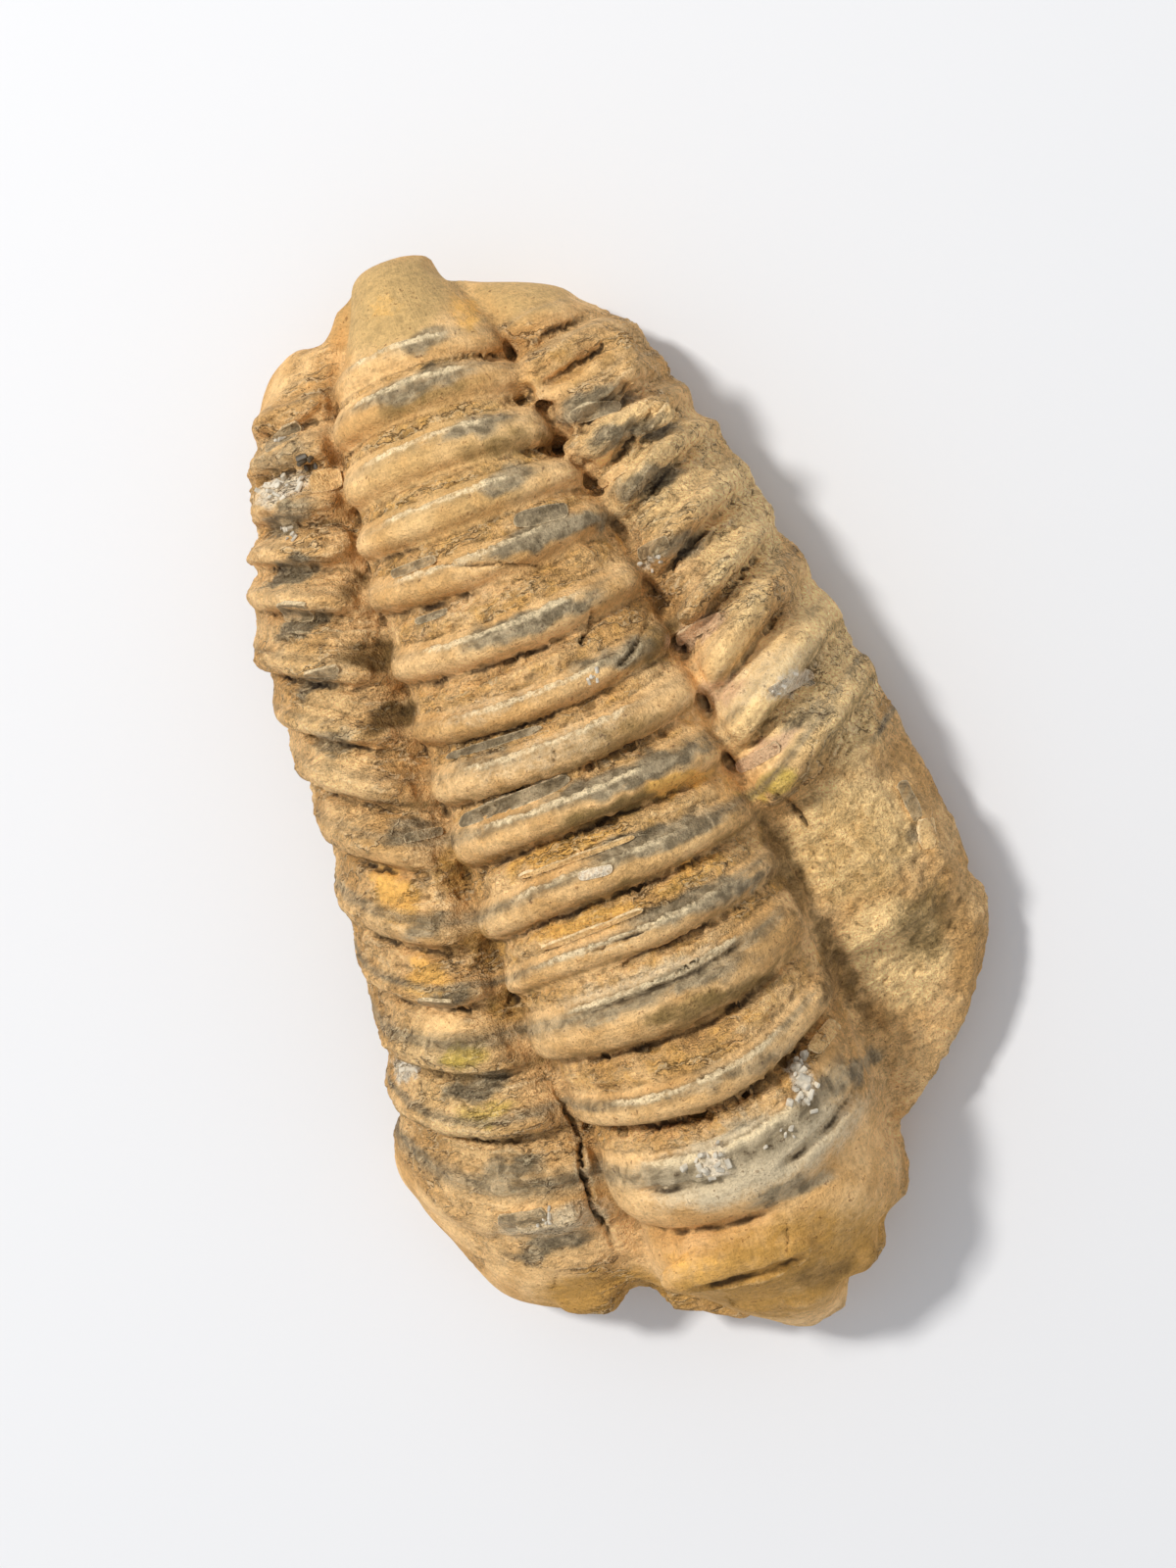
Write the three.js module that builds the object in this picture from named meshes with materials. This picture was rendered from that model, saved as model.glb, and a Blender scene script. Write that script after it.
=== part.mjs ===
// A fossil trilobite, lying on its belly: a long oval stone with a three-lobed back.
// Head towards -Y, tail towards +Y, back up (+Z). Millimetres. Z = 0 is the flat it rests on.
//
// The whole fossil grew into one stone, so it is one closed skin. The skin is a sphere's grid of
// rows and columns: each row crosses the body along one rib line, and each column runs from the
// tail tip to the head tip. Rows stand close together where a ring breaks off into its furrow.

import * as THREE from 'three';
import { mergeVertices } from 'three/addons/utils/BufferGeometryUtils.js';

const { clamp, lerp, smoothstep } = THREE.MathUtils;

// A smooth curve through pairs of [y, value], listed from the tail to the head.
function along(...pairs) {
  const sorted = pairs.toReversed();
  const places = sorted.map((pair) => pair[0]);
  const values = sorted.map((pair) => pair[1]);
  const curve = new THREE.CubicInterpolant(places, values, 1, [0]);
  return (y) => curve.evaluate(y)[0];
}

// ---- driving dimensions ------------------------------------------------------------------

const TAIL_TIP = new THREE.Vector3(-1.0, 40.4, 9);
const HEAD_TIP = new THREE.Vector3(1.0, -40.6, 5.5);

// The outline seen from above: where each side lies, against y.
const leftOutline = along(
  [40.4, -1.0], [40.25, -2.8], [39.8, -4.0], [39.0, -4.8], [38.5, -5.6], [38.2, -7.8],
  [37.9, -10.0], [37.0, -12.0], [35.6, -13.6], [33.3, -15.0], [31, -15.9], [28, -16.9],
  [25.5, -18.2], [22.5, -19.6], [18.7, -20.5], [15, -20.6], [6, -20.2], [0, -20.8], [-5, -21.3],
  [-10, -21.6], [-14, -22.6], [-18, -23.6], [-20.5, -24.2], [-23, -23.8], [-26.3, -22.3],
  [-28.6, -21.2], [-31, -19.7], [-32.8, -17.4], [-34.3, -14.6], [-35.0, -12.0], [-35.4, -8.8],
  [-36.8, -6.2], [-38.1, -4.6], [-39.0, -2.0], [-40.0, -0.4], [-40.6, 1.0]);
const rightOutline = along(
  [40.4, -1.0], [40.25, 0.8], [39.8, 1.8], [38.9, 2.4], [37.9, 2.9], [37.2, 4.0], [36.8, 5.4],
  [35.6, 8.2], [33.3, 10.7], [31, 13.0], [28, 14.2], [25, 15.3], [21.5, 16.6], [18, 17.5],
  [14, 18.4], [10, 19.2], [6, 20.2], [0, 21.3], [-4, 21.9], [-9, 22.7], [-12, 22.7], [-15, 23.2],
  [-17, 22.9], [-20, 21], [-22.3, 19.4], [-25.3, 15.9], [-27.2, 12.8], [-28.5, 11.2],
  [-30.4, 11.5], [-33.4, 10.7], [-35.3, 9.3], [-36.6, 7.8], [-38.1, 5.9], [-39.3, 5.0],
  [-40.1, 3.6], [-40.6, 1.0]);

// The middle lobe, or axis: its centre line and half width.
const axisCentre = along(
  [40.4, -1.0], [36, -0.9], [28, -0.9], [19, -0.1], [9, 0.6], [0, 0.8], [-9, 1.3], [-20, 2.1],
  [-31, 2.1], [-40.6, 1.0]);
const axisHalfWidth = along(
  [40.4, 0], [40.25, 1.7], [39.8, 2.8], [39.0, 3.4], [38, 3.7], [36.5, 4.3], [32, 6.2],
  [28, 6.9], [23, 7.6], [19, 8.4], [9, 9.3], [0, 9.6], [-9, 10.1], [-14, 10.0], [-20, 9.4],
  [-27, 9.3], [-32, 8.7], [-35, 7.0], [-38.5, 3.6], [-40.6, 0]);

// Heights: the crest of the axis, the furrow on each side of it, and the outer margin.
const crestHeight = along([40.4, 9], [40.25, 11.2], [39.7, 13.2], [38.8, 14.5], [36, 16.2],
  [32, 17.9], [28, 19.3], [19, 21.9], [9, 23.4], [0, 24], [-9, 24], [-20, 22.6], [-27, 20.4],
  [-31, 18.4], [-35.5, 14.4], [-38.6, 9.6], [-40.6, 5.5]);
const leftFurrowHeight = along([40.4, 9], [40, 8.6], [38, 8.6], [36, 9.6], [32, 11.6],
  [28, 13], [19, 15], [9, 16], [0, 16.4], [-9, 16.4], [-20, 15], [-27, 13], [-31, 10.6],
  [-35, 7.6], [-38.6, 6], [-40.6, 5.5]);
const rightFurrowHeight = along([40.4, 9], [40, 8.6], [38, 8.6], [36, 9.6], [32, 11.6],
  [28, 13], [19, 15], [9, 16], [0, 16], [-6, 14.8], [-14, 12.6], [-20, 9.6], [-26, 7.4],
  [-31, 6.4], [-35, 6], [-38.6, 5.8], [-40.6, 5.5]);
const marginHeight = along([40.4, 9], [39.3, 7.4], [38, 6.2], [36, 5.2], [30, 4.2], [15, 4],
  [-15, 4], [-28, 4], [-34, 4.4], [-38.6, 5], [-40.6, 5.5]);

// Each ring of the axis: the y of its rear edge, which lies on the half ring behind it, the y of
// the furrow in front of it, where it breaks off steeply, and how far its crest stands out.
const RINGS = [
  [34.0, 31.7, 0.7], [31.3, 28.4, 1.1], [27.2, 24.0, 1.3], [22.8, 20.0, 1.4],
  [18.5, 15.9, 1.4], [13.4, 10.8, 1.5], [8.6, 6.4, 1.3], [5.2, 2.4, 1.4],
  [1.4, -1.3, 1.4], [-3.3, -6.1, 1.4], [-8.1, -10.3, 1.1], [-11.7, -16.2, 1.4],
  [-18.9, -21.7, 1.5], [-23.6, -29.6, 1.3],
];
// Across a ring, from its rear edge (0) to its furrow (1): how much of its rise each row has.
const RING_STEPS = [[0, 0.08], [0.1, 0.5], [0.36, 0.9], [0.62, 1.0], [0.84, 0.66], [1, -0.4]];
const TAIL_ROWS = [40.2, 39.8, 39.1, 38.2, 37.3, 36.4, 35.4, 34.5];
const HEAD_ROWS = [-31, -32.4, -33.7, -34.8, -35.7, -36.6, -37.6, -38.6, -39.5, -40.2];

// How a row departs from a straight line across the body: its bow over the axis, its skew from
// side to side, and how far the rib in each side lobe sweeps back towards the tail.
const bow = along([41, 0], [36, -0.3], [31, -0.5], [24, -0.2], [18, 0.8], [13, 1.2], [3, 1.1],
  [-1, 0.3], [-6, 0.2], [-12, 1.0], [-20, 2.3], [-25, 2.5], [-30, 2.2], [-36, 0.8], [-40.6, 0]);
const skew = along([41, 0], [30, -0.3], [20, -0.1], [10, 0.2], [0, 0.4], [-8, 1.0],
  [-30, 1.0], [-36, 0.4], [-40.6, 0]);
const leftSweep = along([40.4, 0], [37, 0], [33, 0.5], [28, 1.5], [22, 3.2], [15, 5], [5, 6],
  [-5, 6.3], [-14, 5], [-20, 5.6], [-26, 7.4], [-31, 5.4], [-36, 1.9], [-40.6, 0]);
const rightSweep = along([40.4, 0], [37, 0], [33, 0.8], [28, 2], [20, 4], [12, 5], [4, 6],
  [-4, 6.5], [-14, 6], [-20, 6], [-26, 5], [-31, 3], [-36, 1.5], [-40.6, 0]);
const sweepPower = along([41, 1.2], [10, 1.2], [-5, 1.5], [-20, 2.4], [-40.6, 2]);

// Columns of the grid: shares of the axis half width, then of the side lobe, then of the belly.
const AXIS_SHARES = [0.2, 0.39, 0.56, 0.71, 0.83, 0.92, 0.97, 1];
const LOBE_SHARES = [0.06, 0.15, 0.28, 0.43, 0.58, 0.71, 0.82, 0.91, 0.97, 1];
const BELLY_SHARES = [0.9, 0.74, 0];
const BELLY_FLAT = 0.74;

// Height across a side lobe, from its furrow (0) to the margin (1), as a share of the drop.
const lobeDrop = along([1, 1], [0.97, 0.84], [0.91, 0.62], [0.82, 0.38], [0.71, 0.17],
  [0.58, 0], [0.43, -0.11], [0.28, -0.15], [0.15, -0.13], [0.06, -0.03], [0, 0.08]);

// Lobes and lumps that stand out of the back: centre, radii and rise.
const LUMPS = [
  { x: -14.2, y: 29, rx: 2.6, ry: 1.6, rise: 0.9 }, // worn rib ends by the tail
  { x: -12.6, y: 33.2, rx: 2.4, ry: 1.2, rise: 0.6 },
  { x: 6.8, y: 34.4, rx: 4.0, ry: 2.2, rise: 0.8 }, // tail shield
  { x: 10.0, y: 29.4, rx: 4.2, ry: 3.2, rise: 0.8 }, // crust left on the ribs
  { x: -3.4, y: -32.8, rx: 6.2, ry: 3.0, rise: 1.6 }, // lobes of the head
  { x: 8.2, y: -31.4, rx: 3.0, ry: 2.6, rise: 0.9 },
  { x: 2.4, y: -38.4, rx: 3.6, ry: 1.4, rise: 0.5 },
  { x: -16.4, y: -30.6, rx: 6.0, ry: 3.2, rise: 1.2 },
  { x: 20.6, y: -11.5, rx: 1.5, ry: 4.4, rise: 0.9 }, // broken rib ends beside the hollow
  { x: -9.4, y: -33.6, rx: 2.2, ry: 3.6, rise: -1.2 }, // the furrow's way out at the front
];

// The hollow where ribs of the left side broke away and bare stone shows: its inner and rear
// edges, and the heights of the two faces of stone in it, which a small step parts.
const HOLLOW = { inner: 10.9, rear: -4.4, rearSlope: 0.24, stepY: -15.6 };

// ---- surface -----------------------------------------------------------------------------

// Unevenness that is the same at each build.
const wobble = (x, y) =>
  0.5 * Math.sin(0.9 * x + 1.7) * Math.sin(0.7 * y + 0.4) +
  0.3 * Math.sin(1.9 * x - 0.8 * y) + 0.2 * Math.sin(2.3 * y + 1.1 * x + 2);

// How much of a point lies in the hollow, from 0 to 1.
function hollowShare(x, y) {
  const rearEdge = HOLLOW.rear + HOLLOW.rearSlope * (x - HOLLOW.inner);
  return smoothstep(x, HOLLOW.inner - 0.5, HOLLOW.inner + 0.3) * smoothstep(rearEdge - y, 0, 0.8);
}

function hollowHeight(x, y) {
  const out = x - HOLLOW.inner;
  const upper = 14.4 - 0.2 * out + 0.08 * (y + 5);
  const lower = 11.4 - 0.34 * out + 0.42 * (y + 16);
  return lerp(upper, lower, smoothstep(HOLLOW.stepY - y, -0.3, 0.5));
}

// Rise of one lump at a point: a low dome that ends in a soft foot.
function domeRise(lump, x, y) {
  const far = Math.hypot((x - lump.x) / lump.rx, (y - lump.y) / lump.ry);
  return lump.rise * (1 - smoothstep(far, 0.3, 1.15));
}

// How strongly the rings show on the axis, and the ribs on a side lobe.
const ringRelief = (share) => 1 - 0.8 * smoothstep(share, 0.9, 1);
const ribRelief = (share) =>
  (0.2 + 0.8 * smoothstep(share, 0, 0.12)) * (1 - 0.75 * smoothstep(share, 0.72, 1));

// The point where a row meets the furrow beside the axis, and the point where it ends.
function rowEnds(row, side) {
  const furrowY = clamp(row.y + bow(row.y) + side * skew(row.y), HEAD_TIP.y, TAIL_TIP.y);
  const sweep = side < 0 ? leftSweep(row.y) : rightSweep(row.y);
  const marginY = clamp(furrowY + sweep, HEAD_TIP.y, TAIL_TIP.y);
  const outline = side < 0 ? leftOutline : rightOutline;
  const furrowHeight = side < 0 ? leftFurrowHeight : rightFurrowHeight;
  const centre = axisCentre(furrowY);
  const halfWidth = Math.min(axisHalfWidth(furrowY), Math.abs(outline(furrowY) - centre));
  return {
    furrow: new THREE.Vector3(centre + side * halfWidth, furrowY, furrowHeight(furrowY)),
    margin: new THREE.Vector3(outline(marginY), marginY, marginHeight(marginY)),
  };
}

// A rise square to the back: straight up on the axis, sideways at the margin.
function raised(x, y, z, side, rise, lean) {
  let all = rise;
  for (const lump of LUMPS) all += domeRise(lump, x, y);
  all += 0.16 * wobble(x, y) * smoothstep(40.4 - Math.abs(y), 0, 3);
  return [x + side * all * Math.sin(lean), y, z + all * Math.cos(lean)];
}

function axisPoint(row, side, share) {
  const { furrow } = rowEnds(row, side);
  const y = lerp(row.y, furrow.y, share ** 2);
  const x = lerp(axisCentre(y), furrow.x, share);
  const z = furrow.z + (crestHeight(y) - furrow.z) * (1 - share ** 2.1) ** 0.58;
  return raised(x, y, z, side, row.rise * ringRelief(share), 0.9 * share ** 3);
}

function lobePoint(row, side, share) {
  const { furrow, margin } = rowEnds(row, side);
  const x = lerp(furrow.x, margin.x, share);
  const y = lerp(furrow.y, margin.y, share ** sweepPower(row.y));
  const ribbed = furrow.z - (furrow.z - margin.z) * lobeDrop(share);
  const bare = side > 0 ? hollowShare(x, y) : 0;
  const z = lerp(ribbed, Math.min(ribbed, hollowHeight(x, y)), bare);
  const lean = 0.25 + 0.9 * smoothstep(share, 0.45, 1);
  return raised(x, y, z, side, row.rise * ribRelief(share) * (1 - 0.9 * bare), lean);
}

// The belly curls in under the margin to the flat that the stone rests on.
function bellyPoint(row, side, share) {
  const [x, y, z] = lobePoint(row, side, 1);
  const centre = axisCentre(y);
  const base =
    TAIL_TIP.z * smoothstep(y, 31.5, TAIL_TIP.y) ** 2 +
    HEAD_TIP.z * smoothstep(-y, 31.5, -HEAD_TIP.y) ** 2;
  const curl = smoothstep(share, BELLY_FLAT, 1);
  return [
    lerp(centre, x, share),
    lerp(row.y, y, share ** 2),
    base + curl * (0.5 * (z - base) + 0.4 * wobble(x, y)),
  ];
}

// ---- rows and columns --------------------------------------------------------------------

const rows = TAIL_ROWS.map((y) => ({ y, rise: 0 }));
RINGS.forEach(([rear, front, rise], i) => {
  for (const [share, part] of RING_STEPS) {
    rows.push({ y: lerp(rear, front, share), rise: rise * part });
  }
  const nextRear = RINGS[i + 1]?.[0] ?? HEAD_ROWS[0];
  rows.push({ y: lerp(front, nextRear, 0.45), rise: 0.05 });
});
HEAD_ROWS.forEach((y) => rows.push({ y, rise: 0 }));

const columns = [
  ...LOBE_SHARES.toReversed().map((share) => [lobePoint, -1, share]),
  ...AXIS_SHARES.toReversed().map((share) => [axisPoint, -1, share]),
  [axisPoint, 1, 0],
  ...AXIS_SHARES.map((share) => [axisPoint, 1, share]),
  ...LOBE_SHARES.map((share) => [lobePoint, 1, share]),
  ...BELLY_SHARES.map((share) => [bellyPoint, 1, share]),
  ...BELLY_SHARES.slice(0, -1).toReversed().map((share) => [bellyPoint, -1, share]),
];

// ---- the stone ---------------------------------------------------------------------------

function stoneGeometry() {
  const grid = new THREE.SphereGeometry(1, columns.length, rows.length + 1);
  const place = grid.getAttribute('position');
  const perRow = columns.length + 1;
  for (let i = 0; i < place.count; i++) {
    const row = rows[Math.floor(i / perRow) - 1];
    const [point, side, share] = columns[(i % perRow) % columns.length];
    const tip = i < perRow ? TAIL_TIP : HEAD_TIP;
    place.setXYZ(i, ...(row ? point(row, side, share) : tip.toArray()));
  }
  grid.deleteAttribute('normal');
  grid.deleteAttribute('uv');
  const skin = mergeVertices(grid, 1e-3);
  skin.computeVertexNormals();
  return skin;
}

const weatheredStone = new THREE.MeshStandardMaterial({
  color: 0xb08a52, roughness: 0.85, metalness: 0, flatShading: true,
});

const trilobite = new THREE.Mesh(stoneGeometry(), weatheredStone);
trilobite.name = 'trilobite';

const part = new THREE.Group();
part.add(trilobite);
export default part;
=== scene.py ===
# %% [markdown]
# # A fossil trilobite, lying on its belly
# A trilobite was a sea animal with a jointed shell: a head shield, a body of rings and a small
# tail shield, and along them a raised middle lobe, the axis, with a row of ribs on each side.
# This one turned to stone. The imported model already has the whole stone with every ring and
# furrow, so this lesson takes that solid as its blank and cuts the small things into it, as a
# carver would: gaps under the rings, cracks, thin shell edges, and the grain of the stone.
# Head towards -Y, tail towards +Y, back up. Blender works in metres; the tables are in mm.

# %% Load the frame
import math

import bpy
import numpy as np
from mathutils import Matrix, Vector, noise
from mathutils.bvhtree import BVHTree


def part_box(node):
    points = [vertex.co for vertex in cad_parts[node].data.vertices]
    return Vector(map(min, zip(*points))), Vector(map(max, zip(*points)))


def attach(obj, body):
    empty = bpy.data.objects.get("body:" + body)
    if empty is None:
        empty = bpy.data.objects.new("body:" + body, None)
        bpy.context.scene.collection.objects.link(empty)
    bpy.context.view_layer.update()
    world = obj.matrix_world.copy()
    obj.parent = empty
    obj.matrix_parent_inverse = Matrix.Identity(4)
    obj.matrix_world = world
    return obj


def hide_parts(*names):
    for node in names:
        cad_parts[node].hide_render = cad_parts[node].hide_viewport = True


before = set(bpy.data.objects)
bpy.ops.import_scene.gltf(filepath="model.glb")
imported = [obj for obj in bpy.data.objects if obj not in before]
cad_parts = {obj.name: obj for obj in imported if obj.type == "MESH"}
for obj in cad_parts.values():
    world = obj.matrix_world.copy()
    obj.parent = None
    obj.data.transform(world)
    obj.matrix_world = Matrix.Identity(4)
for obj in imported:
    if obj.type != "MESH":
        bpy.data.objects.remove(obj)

MM = 0.001
stone_low, stone_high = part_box("trilobite")
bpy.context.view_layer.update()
print("stone, mm:", [round((b - a) / MM, 1) for a, b in zip(stone_low, stone_high)])

# %% [markdown]
# ## The camera
# The stone is looked at from nearly straight above, a little from its right side, and turned so
# that the tail points up and to the left. A 70 mm lens about 22 cm away gives a mild perspective.

# %% Place the camera
LEAN, TURN, AWAY = math.radians(10), math.radians(20), 0.2226
SHIFT_LEFT, SHIFT_UP = 2.2, 0.55


def place_camera():
    lens = bpy.data.cameras.new("camera")
    lens.lens, lens.sensor_width, lens.clip_start = 70, 36, 0.001
    camera = bpy.data.objects.new("camera", lens)
    bpy.context.collection.objects.link(camera)
    back = Vector((math.sin(LEAN), 0, math.cos(LEAN)))
    level = Vector((math.cos(LEAN), 0, -math.sin(LEAN)))
    right = level * math.cos(TURN) - Vector((0, 1, 0)) * math.sin(TURN)
    up = Vector((0, 1, 0)) * math.cos(TURN) + level * math.sin(TURN)
    camera.matrix_world = Matrix((right, up, back)).transposed().to_4x4()
    camera.location = back * AWAY - right * SHIFT_LEFT * MM + up * SHIFT_UP * MM
    bpy.context.scene.camera = camera
    return camera


camera = place_camera()
print("camera at, mm:", [round(c / MM) for c in camera.location])

# %% [markdown]
# ## Small helpers
# Blender's operators act on whatever is selected, and the loaded solid starts out selected, so
# each step first picks exactly the piece it works on.

# %% Pick, edit and apply


def pick(*pieces):
    """Leaves only these pieces selected, the first one active."""
    if bpy.context.object and bpy.context.object.mode != "OBJECT":
        bpy.ops.object.mode_set(mode="OBJECT")
    bpy.ops.object.select_all(action="DESELECT")
    for piece in pieces:
        piece.select_set(True)
    bpy.context.view_layer.objects.active = pieces[0]
    return pieces[0]


def finish_with(piece, kind, **settings):
    """Adds one modifier to the piece and applies it."""
    pick(piece)
    modifier = piece.modifiers.new(kind.title(), kind)
    for name, value in settings.items():
        setattr(modifier, name, value)
    bpy.ops.object.modifier_apply(modifier=modifier.name)
    return piece


def places_of(piece):
    """The piece's vertices in mm, one row each."""
    flat = np.empty(len(piece.data.vertices) * 3, np.float32)
    piece.data.vertices.foreach_get("co", flat)
    return flat.reshape(-1, 3).astype(float) / MM


def put_places(piece, places):
    piece.data.vertices.foreach_set("co", (places * MM).astype(np.float32).ravel())
    piece.data.update()


def normals_of(piece):
    flat = np.empty(len(piece.data.vertices) * 3, np.float32)
    piece.data.vertex_normals.foreach_get("vector", flat)
    return flat.reshape(-1, 3).astype(float)


def triangles_of(piece):
    return sum(len(face.vertices) - 2 for face in piece.data.polygons)


def turned(degrees):
    """The cosine and the sine of a turn."""
    return math.cos(math.radians(degrees)), math.sin(math.radians(degrees))


def smooth_rise(value, low, high):
    """0 below low, 1 above high, and a soft S between them."""
    t = np.clip((value - low) / (high - low), 0, 1)
    return t * t * (3 - 2 * t)


dice = np.random.default_rng(11)
ORDER = dice.permutation(256)
LEANS = dice.normal(size=(256, 3))
LEANS /= np.linalg.norm(LEANS, axis=1)[:, None]


def grain(places, per_mm, seed=0.0, octaves=1):
    """Smooth random values from -1 to 1 at the places; per_mm is how many lumps fit in a mm."""
    total, weight = np.zeros(len(places)), 0.0
    for octave in range(octaves):
        at = places * per_mm * 2**octave + (seed, seed * 0.7, -seed)
        cell = np.floor(at).astype(int)
        part = at - cell
        ease = part**3 * (part * (part * 6 - 15) + 10)
        for corner in np.ndindex(2, 2, 2):
            a, b, c = (cell + corner).T & 255
            lean = LEANS[ORDER[(ORDER[(ORDER[a] + b) & 255] + c) & 255]]
            near = np.prod(np.where(corner, ease, 1 - ease), axis=1)
            total += 0.5**octave * near * np.einsum("ij,ij->i", lean, part - corner)
        weight += 0.5**octave
    return total / weight * 1.9


# %% [markdown]
# ## Where a point lies on the animal
# Rings, ribs and stains follow the animal and not the axes of the drawing. So each point gets
# its row, the y where its rib line crosses the middle, and its share: 0 in the middle of the
# axis, 1 at the furrow beside it, 2 at the outer margin. The curves are the part's, some of
# them with fewer points.

# %% The plan of the animal


def along(*pairs):
    """A smooth curve through pairs of (y, value), listed from the tail to the head."""
    y, v = np.array(sorted(pairs), float).T
    slope = np.empty(len(y))
    slope[1:-1] = (v[2:] - v[:-2]) / (y[2:] - y[:-2])
    slope[0], slope[-1] = (v[1] - v[0]) / (y[1] - y[0]), (v[-1] - v[-2]) / (y[-1] - y[-2])

    def at(where):
        where = np.clip(where, y[0], y[-1])
        i = np.clip(np.searchsorted(y, where, side="right"), 1, len(y) - 1)
        run = y[i] - y[i - 1]
        t = (where - y[i - 1]) / run
        return (v[i - 1] * (1 + 2 * t) * (1 - t) ** 2 + slope[i - 1] * run * t * (1 - t) ** 2
                + v[i] * t * t * (3 - 2 * t) + slope[i] * run * t * t * (t - 1))

    return at


left_outline = along(
    (40.4, -1.0), (39.0, -4.8), (38.2, -7.8), (37.0, -12.0), (35.6, -13.6), (31, -15.9),
    (28, -16.9), (22.5, -19.6), (18.7, -20.5), (6, -20.2), (-5, -21.3), (-14, -22.6),
    (-20.5, -24.2), (-26.3, -22.3), (-31, -19.7), (-34.3, -14.6), (-35.4, -8.8),
    (-38.1, -4.6), (-40.6, 1.0))
right_outline = along(
    (40.4, -1.0), (38.9, 2.4), (36.8, 5.4), (33.3, 10.7), (31, 13.0), (25, 15.3), (18, 17.5),
    (10, 19.2), (0, 21.3), (-9, 22.7), (-15, 23.2), (-20, 21), (-25.3, 15.9), (-28.5, 11.2),
    (-33.4, 10.7), (-36.6, 7.8), (-39.3, 5.0), (-40.6, 1.0))
axis_centre = along((40.4, -1.0), (28, -0.9), (19, -0.1), (9, 0.6), (0, 0.8), (-9, 1.3),
                    (-20, 2.1), (-31, 2.1), (-40.6, 1.0))
axis_half_width = along(
    (40.4, 0), (39.8, 2.8), (39.0, 3.4), (38, 3.7), (36.5, 4.3), (32, 6.2), (28, 6.9),
    (23, 7.6), (19, 8.4), (9, 9.3), (0, 9.6), (-9, 10.1), (-14, 10.0), (-20, 9.4), (-27, 9.3),
    (-32, 8.7), (-35, 7.0), (-38.5, 3.6), (-40.6, 0))
bow = along(
    (41, 0), (36, -0.3), (31, -0.5), (24, -0.2), (18, 0.8), (13, 1.2), (3, 1.1), (-1, 0.3),
    (-6, 0.2), (-12, 1.0), (-20, 2.3), (-25, 2.5), (-30, 2.2), (-36, 0.8), (-40.6, 0))
skew = along((41, 0), (30, -0.3), (20, -0.1), (10, 0.2), (0, 0.4), (-8, 1.0), (-30, 1.0),
             (-36, 0.4), (-40.6, 0))
left_sweep = along(
    (40.4, 0), (37, 0), (33, 0.5), (28, 1.5), (22, 3.2), (15, 5), (5, 6), (-5, 6.3),
    (-14, 5), (-20, 5.6), (-26, 7.4), (-31, 5.4), (-36, 1.9), (-40.6, 0))
right_sweep = along((40.4, 0), (37, 0), (33, 0.8), (28, 2), (20, 4), (12, 5), (4, 6),
                    (-4, 6.5), (-14, 6), (-20, 6), (-26, 5), (-31, 3), (-36, 1.5), (-40.6, 0))
sweep_power = along((41, 1.2), (10, 1.2), (-5, 1.5), (-20, 2.4), (-40.6, 2))

# Each ring's rear edge and the furrow in front of it, from the tail to the head.
RINGS = [
    (34.0, 31.7), (31.3, 28.4), (27.2, 24.0), (22.8, 20.0), (18.5, 15.9), (13.4, 10.8),
    (8.6, 6.4), (5.2, 2.4), (1.4, -1.3), (-3.3, -6.1), (-8.1, -10.3), (-11.7, -16.2),
    (-18.9, -21.7), (-23.6, -29.6)]
TAIL_END, HEAD_END = 40.4, -40.6
LEAST_HALF_WIDTH, LEAST_ROOM, ROUNDS = 0.3, 0.5, 14


def on_the_animal(places):
    """Row and share of each place, and which side it is on: -1 left, 1 right."""
    x, y = places[:, 0], places[:, 1]
    centre = axis_centre(y)
    side = np.where(x < centre, -1.0, 1.0)
    row = y.copy()
    for _ in range(ROUNDS):
        crossing = row + bow(row) + side * skew(row)
        half = np.maximum(axis_half_width(crossing), LEAST_HALF_WIDTH)
        furrow_x = axis_centre(crossing) + side * half
        sweep = np.where(side < 0, left_sweep(row), right_sweep(row))
        margin_y = np.clip(crossing + sweep, HEAD_END, TAIL_END)
        margin_x = np.where(side < 0, left_outline(margin_y), right_outline(margin_y))
        at_axis = np.maximum(axis_half_width(y), LEAST_HALF_WIDTH)
        inner = np.clip(np.abs(x - centre) / at_axis, 0, 1)
        room = np.maximum(np.abs(margin_x - furrow_x), LEAST_ROOM)
        outer = np.clip((x - furrow_x) * side / room, 0, 1)
        expected = row + (crossing - row) * inner**2 + sweep * outer ** sweep_power(row)
        row = row + 0.8 * (y - expected)
    return row, inner + outer, side


def beat_of(row):
    """Even numbers are rear edges of rings and odd numbers furrows, counted from the tail."""
    edges = np.array(RINGS).ravel()
    return np.interp(-row, -edges, np.arange(len(edges)), left=-1, right=len(edges))


print("rings:", len(RINGS), " furrow of the middle ring at y", RINGS[7][1])

# %% [markdown]
# ## Where a mark lies
# Every mark below is given on the animal itself: the row that it lies on, which is its y at the
# crest of the back, and its share across, where -1 and 1 are the furrows and -2 and 2 are the
# margins. A mark then stays on its ring or rib, whatever the outline does.

# %% Find a place on the animal


def spot(row, across):
    """Place seen from above, in mm, of a row and a share across the animal."""
    side = -1.0 if across < 0 else 1.0
    inner, outer = min(abs(across), 1.0), max(abs(across) - 1.0, 0.0)
    row = np.array([row], float)
    crossing = row + bow(row) + side * skew(row)
    sweep = left_sweep(row) if side < 0 else right_sweep(row)
    y = row + (crossing - row) * inner**2 + sweep * outer ** sweep_power(row)
    y = np.clip(y, HEAD_END, TAIL_END)
    x = axis_centre(y) + side * inner * axis_half_width(y)
    if outer > 0:
        furrow_x = axis_centre(crossing) + side * axis_half_width(crossing)
        margin_y = np.clip(crossing + sweep, HEAD_END, TAIL_END)
        margin_x = left_outline(margin_y) if side < 0 else right_outline(margin_y)
        x = furrow_x + outer * (margin_x - furrow_x)
    return float(x[0]), float(y[0])


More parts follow.
